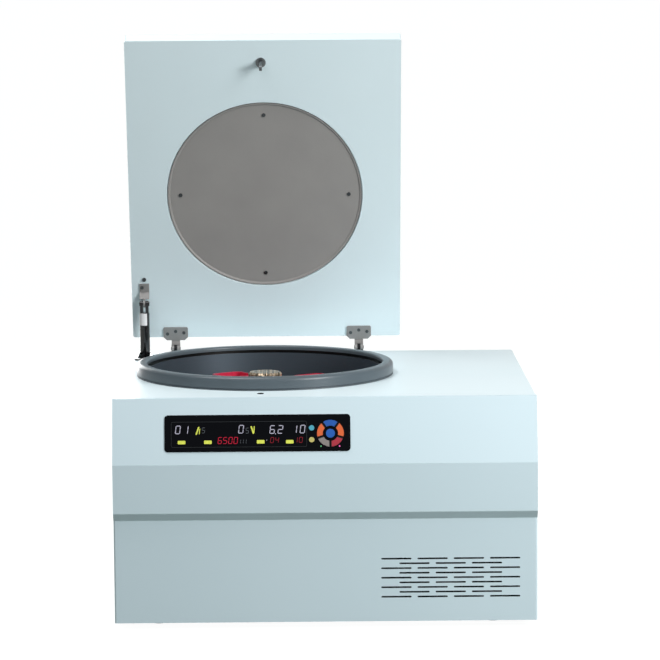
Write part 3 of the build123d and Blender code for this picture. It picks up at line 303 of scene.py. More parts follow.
def piece(name, made, finish, body, place=Matrix.Identity(4), stands_for=()):
    """Turn a bmesh into a named piece that rides on a body, and may stand for nodes."""
    bmesh.ops.transform(made, matrix=place, verts=made.verts)
    bmesh.ops.recalc_face_normals(made, faces=made.faces)
    mesh = bpy.data.meshes.new(name)
    made.to_mesh(mesh)
    made.free()
    mesh.polygons.foreach_set("use_smooth", [True] * len(mesh.polygons))
    mesh.set_sharp_from_angle(angle=CREASE_ANGLE)
    mesh.materials.append(finish.material)
    thing = bpy.data.objects.new(name, mesh)
    bpy.context.scene.collection.objects.link(thing)
    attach(thing, body)
    if stands_for:
        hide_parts(*stands_for)


def arc(x, y, radius, start, end, steps=6):
    """Points on a circle from one angle to another, in degrees."""
    turns = [math.radians(start + (end - start) * k / steps) for k in range(steps + 1)]
    return [(x + radius * math.cos(a), y + radius * math.sin(a)) for a in turns]


def lathe(made, profile, x=0.0, y=0.0, steps=96, trim=None):
    """A closed outline of radius and height, turned about an upright axis."""
    on_axis = {k: made.verts.new((x, y, z)) for k, (r, z) in enumerate(profile) if r == 0}
    loops = []
    for step in range(steps):
        a = 2 * math.pi * step / steps
        loop = []
        for k, (r, z) in enumerate(profile):
            r = trim(r, z, a) if trim else r
            at = (x + r * math.cos(a), y + r * math.sin(a), z)
            loop.append(on_axis.get(k) or made.verts.new(at))
        loops.append(loop)
    for one, two in zip(loops, loops[1:] + loops[:1]):
        for k in range(len(profile)):
            after = (k + 1) % len(profile)
            corners = list(dict.fromkeys((one[k], one[after], two[after], two[k])))
            if len(corners) > 2:
                made.faces.new(corners)


# The gasket's sealing lip overhangs a groove, its lower body hides behind the
# bowl's standing rim, and its foot is notched over the bowl's flange. The
# groove and the inner side below the lip are painted near-black as shade.
gasket_low, gasket_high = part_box("chamber_gasket")
CHAMBER_STEPS = 144
GASKET_OUT = (gasket_high.x - gasket_low.x) / 2
GASKET_IN = GASKET_OUT - 0.0185
LIP_UNDER = gasket_high.z - 0.0072
LIP_OVERHANG = 0.0040
SHELF_TOP = gasket_low.z + 0.0100
RIM_IN, RIM_OUT = 0.2000, 0.2012
LIP_ROUND, BACK_ROUND = 0.0032, 0.0065
FLANGE_OUT = 0.2131
FLANGE_TOP = gasket_low.z + 0.0013
BAND_IN = GASKET_OUT - 0.0020
BAND_LOW, BAND_HIGH = gasket_low.z + 0.0020, gasket_low.z + 0.0035
gasket_profile = [
    (GASKET_IN, LIP_UNDER), (GASKET_IN + LIP_OVERHANG, LIP_UNDER),
    (GASKET_IN + LIP_OVERHANG, SHELF_TOP), (RIM_OUT, SHELF_TOP),
    (RIM_OUT, FLANGE_TOP), (FLANGE_OUT, FLANGE_TOP),
    (FLANGE_OUT, gasket_low.z), (GASKET_OUT, gasket_low.z),
    (GASKET_OUT, BAND_LOW), (BAND_IN, BAND_LOW), (BAND_IN, BAND_HIGH), (GASKET_OUT, BAND_HIGH),
    *arc(GASKET_OUT - BACK_ROUND, gasket_high.z - BACK_ROUND, BACK_ROUND, 0, 90),
    *arc(GASKET_IN + LIP_ROUND, gasket_high.z - LIP_ROUND, LIP_ROUND, 90, 180),
]
GASKET_GREY, GASKET_DUST = srgb(86, 96, 102), srgb(75, 85, 91)
gasket_rubber = rubber("gasket_rubber", GASKET_GREY, GASKET_DUST, 0.24)
across = gasket_rubber.along("X") - chamber_x
back = gasket_rubber.along("Y") - chamber_y
# The inner side under the lip, groove included, is painted near-black as shade.
SHADE_OUT, SHADE_TOP = GASKET_IN + 0.0045, LIP_UNDER + 0.0001
inner_side = (across * across + back * back) ** 0.5 < SHADE_OUT
groove_painted_shade = inner_side * (gasket_rubber.along("Z") < SHADE_TOP)
body_tint = gasket_rubber.mix(gasket_rubber.noise(16.0, 6.0), GASKET_GREY, GASKET_DUST)
# Mix the near-black painted shade into the groove.
gasket_rubber.wear(Base_Color=gasket_rubber.mix(groove_painted_shade, body_tint, srgb(12, 13, 14)))
made = bmesh.new()
lathe(made, gasket_profile, chamber_x, chamber_y, CHAMBER_STEPS)
piece(
    "gasket_moulding", made, gasket_rubber, "cabinet",
    stands_for=["chamber_gasket"],
)

RIM_LOW, RIM_HIGH = gasket_low.z + 0.001, gasket_low.z + 0.011
made = bmesh.new()
bowl_rim = [(RIM_IN, RIM_LOW), (RIM_OUT, RIM_LOW), (RIM_OUT, RIM_HIGH), (RIM_IN, RIM_HIGH)]
lathe(made, bowl_rim, chamber_x, chamber_y, CHAMBER_STEPS)
piece("bowl_rim", made, steel, "cabinet")


# ---------------------------------------------------------------- rotor
# A cast aluminium cross on the motor's shaft carries four anodised buckets on
# steel trunnions. Each bucket holds a moulded rack with five capped tubes, and
# a wide fluted nut of bronze holds the cross down. The nut's dark and bright
# streaks run across x only and are painted reflections.
CAST_GRAIN = (140.0, 140.0, 140.0)
cast = metal("cast_aluminium", srgb(176, 178, 182), srgb(140, 143, 148), 0.34, CAST_GRAIN, 0.00005)
dress(cast, "rotor_head", "drive_motor", "motor_drive_unit")
turned = spun("turned_steel", srgb(200, 200, 202), srgb(170, 172, 176), 0.18, 0.00001)
dress(turned, "motor_shaft")

# The nut's colour streaks vary across x only and are painted reflections; the same noise roughens
# and bumps the bronze as grain.
bronze = Finish("bronze_painted_reflections", Metallic=0.6)
grain_and_reflection = bronze.noise(1.0, 3.0, bronze.stretched(620.0, 0.0, 0.0))
# Near-black and bright bronze stops of the painted reflection streaks.
PAINTED_REFLECTION_STOPS = [(0.46, (0.012, 0.008, 0.006)), (0.58, (0.72, 0.56, 0.38))]
bronze.wear(
    Base_Color=bronze.node("ValToRGB", {"Fac": grain_and_reflection}, stops=PAINTED_REFLECTION_STOPS),
    Roughness=0.26 + grain_and_reflection * 0.14,
    Normal=bronze.bump(grain_and_reflection, 0.00004),
)
nut_low, nut_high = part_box("rotor_nut")
NUT_OUT, NUT_TALL, NUT_CHAMFER = 0.0295, 0.0230, 0.003
NUT_BORE, BORE_TALL = 0.0072, 0.0123
COLLAR_TALL, COLLAR_STEP = 0.0030, 0.0032
FLUTES, FLUTE_ROUND, FLUTE_AT = 12, 0.0040, 0.0315
FLUTED_FROM_R, FLUTED_FROM_Z = 0.02, nut_low.z + 0.0031
STEPS_PER_FLUTE = 12


def fluted(r, z, a):
    """The nut's radius where finger flutes are cut into it."""
    if r < FLUTED_FROM_R or z < FLUTED_FROM_Z:
        return r
    off = (a + math.pi / FLUTES) % (2 * math.pi / FLUTES) - math.pi / FLUTES
    beside = FLUTE_AT * math.sin(off)
    if abs(beside) >= FLUTE_ROUND:
        return r
    return min(r, FLUTE_AT * math.cos(off) - math.sqrt(FLUTE_ROUND ** 2 - beside ** 2))


nut_profile = [(r, nut_low.z + h) for r, h in (
    (NUT_BORE, 0.0), (NUT_OUT, 0.0), (NUT_OUT, COLLAR_TALL), (NUT_OUT, COLLAR_STEP),
    (NUT_OUT, NUT_TALL - NUT_CHAMFER), (NUT_OUT - NUT_CHAMFER, NUT_TALL),
    (0.0, NUT_TALL), (0.0, BORE_TALL), (NUT_BORE, BORE_TALL),
)]
nut_x, nut_y = (nut_low.x + nut_high.x) / 2, (nut_low.y + nut_high.y) / 2
made = bmesh.new()
lathe(made, nut_profile, nut_x, nut_y, STEPS_PER_FLUTE * FLUTES, fluted)
piece("fluted_nut", made, bronze, "rotor", stands_for=["rotor_nut"])

BUCKETS = (1, 2, 3, 4)
anodised = Finish("red_anodised", Metallic=0.3, Coat_Weight=0.4, Coat_Roughness=0.12)
sheen = anodised.noise(18.0, 3.0)
drawn = anodised.noise(1.0, 2.0, anodised.stretched(500.0, 500.0, 8.0))
anodised.wear(
    Base_Color=anodised.mix(sheen * 0.5 + drawn * 0.5, srgb(232, 58, 92), srgb(206, 40, 72)),
    Roughness=0.24 + drawn * 0.1,
    Normal=anodised.bump(drawn, 0.00001),
)
dress(anodised, *[f"bucket_{k}" for k in BUCKETS])


def prism(made, outline, low, high):
    """A closed flat outline carried from one height to another."""
    bottom = [made.verts.new((x, y, low)) for x, y in outline]
    top = [made.verts.new((x, y, high)) for x, y in outline]
    made.faces.new(bottom[::-1])
    made.faces.new(top)
    for k in range(len(outline)):
        after = (k + 1) % len(outline)
        made.faces.new((bottom[k], bottom[after], top[after], top[k]))


def rounded(width, height, corner, steps=6):
    """A rounded rectangle's outline about its middle."""
    outline = []
    for k, (sx, sy) in enumerate(((1, 1), (-1, 1), (-1, -1), (1, -1))):
        for step in range(steps + 1):
            a = math.pi / 2 * (k + step / steps)
            x = sx * (width / 2 - corner) + corner * math.cos(a)
            y = sy * (height / 2 - corner) + corner * math.sin(a)
            outline.append((x, y))
    return outline


RACK_WIDE, RACK_CORNER, RACK_SUNK = 0.053, 0.009, 0.031
CAP_TALL, CAP_ROUND, CAP_CHAMFER = 0.011, 0.009, 0.001
TUBE_ROUND, TUBE_PROUD, TUBE_STEP, TUBE_SIDES = 0.008, 0.002, 0.014, 32
TUBE_PLACES = ((0, 0), (1, 1), (1, -1), (-1, 1), (-1, -1))
ROTOR_TURN = Matrix.Rotation(math.radians(33), 4, "Z")
rack_low, rack_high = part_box("tube_rack_1")
rack_top = rack_high.z - RACK_SUNK
cap_low = rack_top + TUBE_PROUD
cap_high = cap_low + CAP_TALL
tube_profile = [
    (0.0, rack_top), (TUBE_ROUND, rack_top), (TUBE_ROUND, cap_low), (CAP_ROUND, cap_low),
    (CAP_ROUND, cap_high - CAP_CHAMFER), (CAP_ROUND - CAP_CHAMFER, cap_high), (0.0, cap_high),
]
rack = Finish("rack_and_caps", Specular_IOR_Level=0.5)
is_cap = rack.along("Z") > cap_low
moulded = rack.noise(30.0, 3.0)
ribs = rack.node("TexWave", {"Vector": rack.place, "Scale": 160.0}, bands_direction="X")
rack_tint = rack.mix(moulded, srgb(196, 190, 172), srgb(176, 168, 148))
cap_tint = rack.mix(moulded, srgb(104, 84, 62), srgb(84, 66, 50))
rack.wear(
    Base_Color=rack.mix(is_cap, rack_tint, cap_tint),
    Roughness=0.42 + moulded * 0.1,
    Normal=rack.bump(ribs * is_cap, 0.0003),
)
for k in BUCKETS:
    low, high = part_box(f"tube_rack_{k}")
    made = bmesh.new()
    prism(made, rounded(RACK_WIDE, RACK_WIDE, RACK_CORNER), rack_low.z, rack_top)
    for x, y in TUBE_PLACES:
        lathe(made, tube_profile, x * TUBE_STEP, y * TUBE_STEP, TUBE_SIDES)
    spot = Matrix.Translation(((low.x + high.x) / 2, (low.y + high.y) / 2, 0.0)) @ ROTOR_TURN
    piece(f"sunk_rack_{k}", made, rack, f"bucket_{k}", spot, [f"tube_rack_{k}"])


# ---------------------------------------------------------------- cooling and electrics
# Behind the front slots stand the condenser, its moulded fan, the compressor
# and the motor's drive unit. They are seen only through slots and openings.
# The mains inlet and its rocker sit in the rear panel.
def moulding(name, colour, shade, rough, grain=700.0, depth=0.00004, **even):
    """Moulded or painted plastic with a fine spark-eroded grain."""
    plastic = Finish(name, **even)
    tone = plastic.noise(14.0, 3.0)
    texture = plastic.noise(grain, 2.0)
    return plastic.wear(
        Base_Color=plastic.mix(tone, colour, shade),
        Roughness=rough + tone * 0.08,
        Normal=plastic.bump(texture, depth),
    )


black_plastic = moulding("black_plastic", srgb(30, 30, 32), srgb(40, 40, 42), 0.4)
dress(black_plastic, "fan_rotor", "fan_shroud", "switch_rocker")
zinc = metal("zinc_plate", srgb(186, 188, 188), srgb(160, 164, 166), 0.3)
dress(zinc, "fan_motor")
coated = moulding("black_coil_paint", srgb(14, 14, 15), srgb(22, 22, 23), 0.6, 300.0)
dress(coated, "condenser", "lock_bolt", "lock_housing")

inlet_low, inlet_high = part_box("power_inlet")
SOCKET_ACROSS = inlet_low.x + 0.025
SOCKET_UP = (inlet_low.z + inlet_high.z) / 2
SOCKET_HALF_WIDE, SOCKET_HALF_TALL, PIN_REACH = 0.0115, 0.0075, 0.0175
inlet = Finish("inlet_and_pins", Specular_IOR_Level=0.5)
in_width = abs(inlet.along("X") - SOCKET_ACROSS) < SOCKET_HALF_WIDE
in_height = abs(inlet.along("Z") - SOCKET_UP) < SOCKET_HALF_TALL
is_pin = in_width * in_height * (inlet.along("Y") > inlet_high.y - PIN_REACH)
speck = inlet.noise(700.0, 2.0)
inlet_tint = inlet.mix(inlet.noise(14.0), srgb(28, 28, 30), srgb(38, 38, 40))
inlet.wear(
    Base_Color=inlet.mix(is_pin, inlet_tint, srgb(206, 200, 186)),
    Metallic=is_pin,
    Roughness=0.42 - is_pin * 0.18 + speck * 0.06,
    Normal=inlet.bump(speck, 0.00004),
)
dress(inlet, "power_inlet")


# ---------------------------------------------------------------- console window
# A black acrylic window is bonded into the sloping console. Behind it glow
# grey and red seven-bar digits and small yellow-green lamps, which stand here
# a hair above its face, inside a faint printed frame line.
SLOPE_RUN, SLOPE_DROP = 0.027, 0.107
window_low, window_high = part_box("control_window")
window_tilt = math.pi / 2 - math.atan2(SLOPE_RUN, SLOPE_DROP)
window_middle = Matrix.Translation((window_low + window_high) / 2)
console_face = window_middle @ Matrix.Rotation(window_tilt, 4, "X")

acrylic = Finish(
    "black_acrylic", Specular_IOR_Level=0.12, Coat_Weight=0.04, Coat_Roughness=0.03
)
smear = acrylic.noise(26.0, 5.0)
acrylic.wear(
    Base_Color=acrylic.mix(smear, srgb(3, 4, 8), srgb(6, 7, 12)),
    Roughness=0.06 + smear * 0.05,
    Normal=acrylic.bump(smear, 0.00001),
)
dress(acrylic, "control_window")

# The board carries two status lamps, green and pink, that reach the window.
LAMP_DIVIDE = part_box("key_centre")[0].x + 0.0073
LAMP_DEPTH = window_low.y + 0.0055
TRACE_EDGE = 0.72
BLACK = (0.0, 0.0, 0.0)
board = Finish("board_and_lamps", Specular_IOR_Level=0.5, Emission_Strength=0.5)
traces = board.node(
    "TexWave", {"Vector": board.place, "Scale": 210.0, "Distortion": 3.0}, bands_direction="X"
)
board_tint = board.mix(traces > TRACE_EDGE, srgb(22, 72, 44), srgb(40, 104, 62))
is_right = board.along("X") > LAMP_DIVIDE
is_lamp = board.along("Y") < LAMP_DEPTH
lamp_tint = board.mix(is_right, srgb(70, 150, 96), srgb(236, 96, 178))
board.wear(
    Base_Color=board.mix(is_lamp, board_tint, lamp_tint),
    Emission_Color=board.mix(is_lamp, BLACK, lamp_tint),
    Roughness=0.35 + traces * 0.15,
)
dress(board, "control_board")


def glow(name, colour, shade, strength):
    """A lit display bar, a little uneven along its length."""
    light = Finish(name, Roughness=0.3, Emission_Strength=strength)
    tint = light.mix(light.noise(300.0, 2.0), colour, shade)
    return light.wear(Base_Color=tint, Emission_Color=tint)


grey_glow = glow("grey_digit_glow", srgb(158, 156, 170), srgb(134, 132, 146), 0.7)
red_glow = glow("red_digit_glow", srgb(172, 12, 42), srgb(136, 8, 34), 0.7)
green_glow = glow("green_lamp_glow", srgb(196, 200, 84), srgb(152, 160, 52), 0.7)
dark_red_glow = glow("dark_red_digit_glow", srgb(126, 12, 28), srgb(98, 8, 22), 0.6)
dim_glow = glow("dim_mark_glow", srgb(70, 74, 78), srgb(54, 58, 62), 0.6)

# Heights over the window's middle plane.
WINDOW_FACE = 0.0006
GLOW_ROOT = 0.0004
GLOW_TOP = WINDOW_FACE + 0.00006
PRINT_TOP = WINDOW_FACE + 0.00003
SEGMENTS = {"0": "abcdef", "1": "bc", "2": "abged", "4": "fgbc", "5": "afgcd", "6": "afgedc"}
DIGIT_LEAN, BAR_WIDTH, BAR_GAP = 0.12, 0.092, 0.14


def digit(made, mark, x, y, wide, tall):
    """One leaning seven-bar digit of flat pointed bars."""
    bar = tall * BAR_WIDTH
    half_w = wide / 2 - bar / 2
    half_h = tall / 2 - bar / 2
    ends = {
        "a": ((-half_w, half_h), (half_w, half_h)),
        "b": ((half_w, half_h), (half_w, 0)),
        "c": ((half_w, 0), (half_w, -half_h)),
        "d": ((-half_w, -half_h), (half_w, -half_h)),
        "e": ((-half_w, 0), (-half_w, -half_h)),
        "f": ((-half_w, half_h), (-half_w, 0)),
        "g": ((-half_w, 0), (half_w, 0)),
    }
    for letter in SEGMENTS[mark]:
        start, end = (Vector(p) for p in ends[letter])
        run = (end - start).normalized()
        side = Vector((-run.y, run.x)) * bar / 2
        start = start + run * bar * BAR_GAP
        end = end - run * bar * BAR_GAP
        tip = run * bar / 2
        far_side = (end - tip + side, end, end - tip - side)
        points = (start, start + tip + side, *far_side, start + tip - side)
        outline = [(x + p.x + (p.y * DIGIT_LEAN), y + p.y) for p in points]
        prism(made, outline[::-1], GLOW_ROOT, GLOW_TOP)


def on_window(name, made, finish):
    """Lay a display piece on the window."""
    piece(name, made, finish, "cabinet", console_face)


def readout(name, finish, marks, wide, tall, step):
    """A row of digits: marks is a list of text, right-hand digit's x, and drop."""
    made = bmesh.new()
    for text, right, drop in marks:
        for k, mark in enumerate(reversed(text)):
            digit(made, mark, right - k * step, drop, wide, tall)
    on_window(name, made, finish)


def shifted(outline, x, y):
    """An outline moved across and up the window."""
    return [(x + a, y + b) for a, b in outline]


# Places are across from the window's middle and up the slope.
upper_marks = [
    ("0", -0.1308, 0.0063), ("1", -0.1180, 0.0060), ("0", -0.0268, 0.0066),
    ("6", 0.0246, 0.0057), ("2", 0.0379, 0.0057), ("0", 0.0743, 0.0060), ("1", 0.0609, 0.0060),
]
speed_marks = [("6500", -0.0357, -0.0118)]
lower_marks = [("04", 0.0323, -0.0118), ("10", 0.0713, -0.0118)]
readout("upper_digits", grey_glow, upper_marks, wide=0.0084, tall=0.0140, step=0.0100)
readout("speed_digits", red_glow, speed_marks, wide=0.0066, tall=0.0112, step=0.0087)
readout("lower_digits", dark_red_glow, lower_marks, wide=0.0058, tall=0.0096, step=0.0082)

LAMP_PLACES = ((-0.1248, -0.0146), (-0.0815, -0.0145), (0.0053, -0.0144), (0.0531, -0.0147))
LAMP_WIDE, LAMP_TALL, LAMP_CORNER = 0.0126, 0.0058, 0.0010
lamp_outline = rounded(LAMP_WIDE, LAMP_TALL, LAMP_CORNER, 2)
made = bmesh.new()
for x, y in LAMP_PLACES:
    prism(made, shifted(lamp_outline, x, y), GLOW_ROOT, GLOW_TOP)
on_window("blank_lamps", made, green_glow)

DOTS, DOT_CORNER = ((0.0297, -0.0014, 0.0008), (0.0152, -0.0118, 0.0006)), 0.0005
made = bmesh.new()
for x, y, half in DOTS:
    dot = rounded(2 * half, 2 * half, DOT_CORNER, 2)
    prism(made, shifted(dot, x, y), GLOW_ROOT, GLOW_TOP)
on_window("decimal_point", made, grey_glow)

SLANTED_BARS = (
    (-0.0986, 0.0044, 0.34, 0.0012, 0.0128), (-0.0952, 0.0034, 0.10, 0.0006, 0.0090),
    (-0.0084, 0.0052, -0.32, 0.0012, 0.0124), (-0.0055, 0.0060, 0.06, 0.0008, 0.0110),
)
made = bmesh.new()
for x, y, lean, half, tall in SLANTED_BARS:
    corners = ((-half, -0.5), (half, -0.5), (half, 0.5), (-half, 0.5))
    bar = [(x + a + lean * b * tall, y + b * tall) for a, b in corners]
    prism(made, bar, GLOW_ROOT, GLOW_TOP)
on_window("slanted_lamps", made, green_glow)

UNIT_PLACES = ((-0.0888, 0.0052), (-0.0167, 0.0042))
STROKES, STROKE_START, STROKE_STEP, STROKE_DROP = 3, -0.0288, 0.0046, -0.0136
made = bmesh.new()
for x, y in UNIT_PLACES:
    digit(made, "5", x, y, wide=0.0052, tall=0.0094)
for k in range(STROKES):
    digit(made, "1", STROKE_START + STROKE_STEP * k, STROKE_DROP, wide=0.0028, tall=0.0074)
on_window("unit_marks", made, dim_glow)


def ring(made, outer, inner, low, high):
    """A flat closed band between two outlines with as many points each."""
    edges = ((outer, low), (outer, high), (inner, high), (inner, low))
    loops = [[made.verts.new((x, y, z)) for x, y in line] for line, z in edges]
    for k in range(len(outer)):
        after = (k + 1) % len(outer)
        for a, b in ((0, 1), (1, 2), (2, 3), (3, 0)):
            made.faces.new((loops[a][k], loops[a][after], loops[b][after], loops[b][k]))


FRAME_LEFT, FRAME_RIGHT, FRAME_LOW, FRAME_HIGH = -0.1421, 0.0814, -0.0230, 0.0194
FRAME_LINE, FRAME_CORNER = 0.0006, 0.003
frame_wide, frame_tall = FRAME_RIGHT - FRAME_LEFT, FRAME_HIGH - FRAME_LOW
frame_middle = ((FRAME_LEFT + FRAME_RIGHT) / 2, (FRAME_LOW + FRAME_HIGH) / 2)
outer = rounded(frame_wide, frame_tall, FRAME_CORNER)
inner = rounded(
    frame_wide - 2 * FRAME_LINE, frame_tall - 2 * FRAME_LINE, FRAME_CORNER - FRAME_LINE
)
frame_print = moulding("printed_frame_line", srgb(34, 38, 40), srgb(28, 32, 34), 0.4)
made = bmesh.new()
ring(made, shifted(outer, *frame_middle), shifted(inner, *frame_middle), GLOW_ROOT, PRINT_TOP)
on_window("frame_line", made, frame_print)


# ---------------------------------------------------------------- keys
# Five satin push keys make a ring round a blue centre key, and two small round
# keys stand beside them. Each is moulded in its own colour, and the five ring
# keys are painted near-black along the gaps between them as shade.
KEY_COLOURS = {
    "key_top": ((30, 92, 180), (24, 80, 162)),
    "key_centre": ((32, 96, 184), (24, 82, 164)),
    "key_left": ((228, 108, 56), (212, 94, 46)),
    "key_right": ((228, 108, 56), (212, 94, 46)),
    "key_lower_left": ((146, 138, 134), (128, 121, 118)),
    "key_lower_right": ((180, 50, 66), (160, 40, 56)),
    "key_round_upper": ((88, 176, 196), (70, 154, 176)),
    "key_round_lower": ((206, 196, 120), (184, 172, 98)),
}
WITHOUT_GAP_SHADE = ("key_centre", "key_round_upper", "key_round_lower")
GAP_SHADE_HALF, RING_GAPS, GAP_SHADE_COLOUR = 0.0020, 5, srgb(10, 11, 14)
slope_length = math.hypot(SLOPE_RUN, SLOPE_DROP)
centre_key_low, centre_key_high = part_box("key_centre")
ring_middle = (centre_key_low + centre_key_high) / 2
for key, (colour, shade) in KEY_COLOURS.items():
    colour, shade = srgb(*colour), srgb(*shade)
    satin = moulding(f"{key}_satin", colour, shade, 0.38, 900.0, 0.00002, Specular_IOR_Level=0.5)
    # Ring keys are painted near-black along the gaps between them as shade.
    if key not in WITHOUT_GAP_SHADE:
        across = satin.along("X") - ring_middle.x
        upward = (satin.along("Z") - ring_middle.z) * (slope_length / SLOPE_DROP)
        gap_shade = 0.0
        for k in range(RING_GAPS):
            a = math.radians(90 + 180 / RING_GAPS + 360 / RING_GAPS * k)
            beside = abs(across * math.sin(a) - upward * math.cos(a))
            outward = across * math.cos(a) + upward * math.sin(a)
            # Each gap adds a band of painted shade on the key beside it.
            gap_shade = (beside < GAP_SHADE_HALF) * (outward > 0.0) + gap_shade
        tint = satin.mix(satin.noise(14.0), colour, shade)
        satin.wear(Base_Color=satin.mix(gap_shade, tint, GAP_SHADE_COLOUR))
    dress(satin, key)


# ---------------------------------------------------------------- lid
# The lid is a deep enamelled pan closed by an inner panel with a dished round
# recess. A grey pad fills the recess, held by four pan-head screws. The lid's
# own pieces are laid out closed and then turned open about the hinge.
lid_enamel = enamel("lid_enamel", srgb(224, 239, 243), srgb(216, 232, 237), 0.1)
dress(lid_enamel, "lid_outer_shell", "lid_inner_panel")

HINGE = Vector((0.0, 0.288, 0.393))
LID_OPENING = math.radians(73.5)
opened = Matrix.Rotation(-LID_OPENING, 4, "X")
OPEN_LID = Matrix.Translation(HINGE) @ opened @ Matrix.Translation(-HINGE)
LID_FACE = 0.408
RECESS_X, RECESS_Y = -0.1025, -0.0065
BEVEL_R, MOUTH_R, WALL_R = 0.18462, 0.1770, 0.17565
FACE_GAP, WALL_DEEP = 0.00004, 0.0048
recess_profile = [
    (BEVEL_R, LID_FACE - FACE_GAP), (MOUTH_R, LID_FACE - FACE_GAP), (WALL_R, LID_FACE + WALL_DEEP),
]
made = bmesh.new()
lathe(made, recess_profile, RECESS_X, RECESS_Y, CHAMBER_STEPS)
piece("recess_wall", made, lid_enamel, "lid", OPEN_LID)

RECESS_R, PAD_GAP, PAD_THICK = 0.1755, 0.0004, 0.0020
PAD_R, PAD_FACE = RECESS_R - PAD_GAP, LID_FACE + 0.0030
PAD_RIM_FOOT, PAD_RIM_WIDE, PAD_RIM_TALL = 0.0045, 0.0020, 0.0020
pad_profile = [
    (0.0, PAD_FACE), (PAD_R - PAD_RIM_FOOT, PAD_FACE),
    (PAD_R - PAD_RIM_WIDE, PAD_FACE - PAD_RIM_TALL), (PAD_R, PAD_FACE - PAD_RIM_TALL),
    (PAD_R, PAD_FACE + PAD_THICK), (0.0, PAD_FACE + PAD_THICK),
]
pad = moulding("grey_lid_pad", srgb(152, 149, 146), srgb(140, 137, 135), 0.62, 260.0, 0.00012)
made = bmesh.new()
lathe(made, pad_profile, RECESS_X, RECESS_Y, CHAMBER_STEPS)
piece("rimmed_pad", made, pad, "lid", OPEN_LID, ["lid_disc"])
dress(metal("dark_screws", srgb(96, 98, 100), srgb(70, 72, 74), 0.3), "lid_screws")


# ---------------------------------------------------------------- hinges and striker
# Each chamfered hinge leaf is cranked to a split knuckle that turns on a pin in
# a blackened ear on the deck. The lock's striker is a plain steel tongue.
dress(metal("striker_steel", srgb(140, 143, 145), srgb(96, 99, 101), 0.25), "lock_striker")
LEAF_GRAIN = (240.0, 240.0, 240.0)
dulled = metal("dulled_plate", srgb(158, 156, 154), srgb(136, 134, 133), 0.42, LEAF_GRAIN, 0.00006)
dulled.shader.inputs["Metallic"].default_value = 0.55
blackened = moulding(
    "blackened_steel", srgb(20, 20, 22), srgb(30, 30, 32), 0.32, 400.0, 0.00001, Metallic=0.4
)
# Side views are drawn with y across and z up, and carried along x.
ALONG_X = Matrix(((0, 0, 1, 0), (1, 0, 0, 0), (0, 1, 0, 0), (0, 0, 0, 1)))
ROD_SIDES = 24
LEAF_MIDDLES = (-0.2698, 0.0672)
LEAF_HALF, LEAF_BACK, LEAF_FRONT, LEAF_LOW = 0.0225, 0.2769, 0.2517, LID_FACE - 0.0025
LEAF_CORNER, LEAF_CHAMFER = 0.003, 0.006
KNUCKLE_R, KNUCKLE_HALF, EAR_HALF, PIN_R = 0.0060, 0.00785, 0.0025, 0.0030
CRANK_CHAMFER, CRANK_BEND, CRANK_DROP = 0.003, 0.279, 0.005
ARM_LIFT, BRIDGE_LIFT, PIN_PLAY, EAR_PLAY = 0.00002, 0.0005, 0.0001, 0.0005
hy, hz = HINGE.y, HINGE.z


def rod(radius, y=0.0, z=0.0):
    """The outline of a round bar, hole or eye in a side view."""
    return arc(y, z, radius, 0, 360 - 360 / ROD_SIDES, ROD_SIDES - 1)


crank_top = [
    (hy + KNUCKLE_R, LID_FACE - CRANK_CHAMFER), (hy + KNUCKLE_R - CRANK_CHAMFER, LID_FACE),
    (LEAF_BACK, LID_FACE),
]
crank_foot = [
    (LEAF_BACK, LEAF_LOW), (CRANK_BEND, LEAF_LOW), (hy - KNUCKLE_R, LEAF_LOW - CRANK_DROP),
]
arm = crank_foot + arc(hy, hz, KNUCKLE_R + ARM_LIFT, 180, 0, 12) + crank_top
bridge = crank_foot + arc(hy, hz, KNUCKLE_R + BRIDGE_LIFT, 157, 23, 10) + crank_top
knuckle, knuckle_hole = rod(KNUCKLE_R, hy, hz), rod(PIN_R + PIN_PLAY, hy, hz)
made = bmesh.new()
for x in LEAF_MIDDLES:
    for side in (-1, 1):
        near, far = sorted((x + side * (EAR_HALF + EAR_PLAY), x + side * KNUCKLE_HALF))
        prism(made, arm, near, far)
        ring(made, knuckle, knuckle_hole, near, far)
    prism(made, bridge, x - EAR_HALF - EAR_PLAY, x + EAR_HALF + EAR_PLAY)
bmesh.ops.transform(made, matrix=ALONG_X, verts=made.verts)
for x in LEAF_MIDDLES:
    left, right = x - LEAF_HALF, x + LEAF_HALF
    corner_y = LEAF_FRONT + LEAF_CORNER
    leaf = [
        *arc(left + LEAF_CORNER, corner_y, LEAF_CORNER, 180, 270, 4),
        *arc(right - LEAF_CORNER, corner_y, LEAF_CORNER, 270, 360, 4),
        (right, LEAF_BACK - LEAF_CHAMFER), (right - LEAF_CHAMFER, LEAF_BACK),
        (left + LEAF_CHAMFER, LEAF_BACK), (left, LEAF_BACK - LEAF_CHAMFER),
    ]
    prism(made, leaf, LEAF_LOW, LID_FACE)
piece("cranked_leaves", made, dulled, "lid", OPEN_LID, ["hinge_leaves"])

FOOT_THICK, FOOT_REACH, EAR_FRONT, PIN_PROUD = 0.0015, 0.004, 0.001, 0.001
foot_low = gasket_low.z
foot_high = foot_low + FOOT_THICK
ear = [
    (hy - KNUCKLE_R, foot_high), (hy + EAR_FRONT, foot_high),
    *arc(hy, hz, KNUCKLE_R, -80, 180, 18),
]
foot = [
    (hy - KNUCKLE_R, foot_low), (hy + FOOT_REACH, foot_low),
    (hy + FOOT_REACH, foot_high), (hy - KNUCKLE_R, foot_high),
]
PIN_END = KNUCKLE_HALF + PIN_PROUD
made = bmesh.new()
for x in LEAF_MIDDLES:
    prism(made, ear, x - EAR_HALF, x + EAR_HALF)
    for near, far in ((-PIN_END, -EAR_HALF), (EAR_HALF, PIN_END)):
        prism(made, rod(PIN_R, hy, hz), x + near, x + far)
    prism(made, foot, x - KNUCKLE_HALF, x + KNUCKLE_HALF)
piece("hinge_ears", made, blackened, "cabinet", ALONG_X, ["hinge_brackets"])


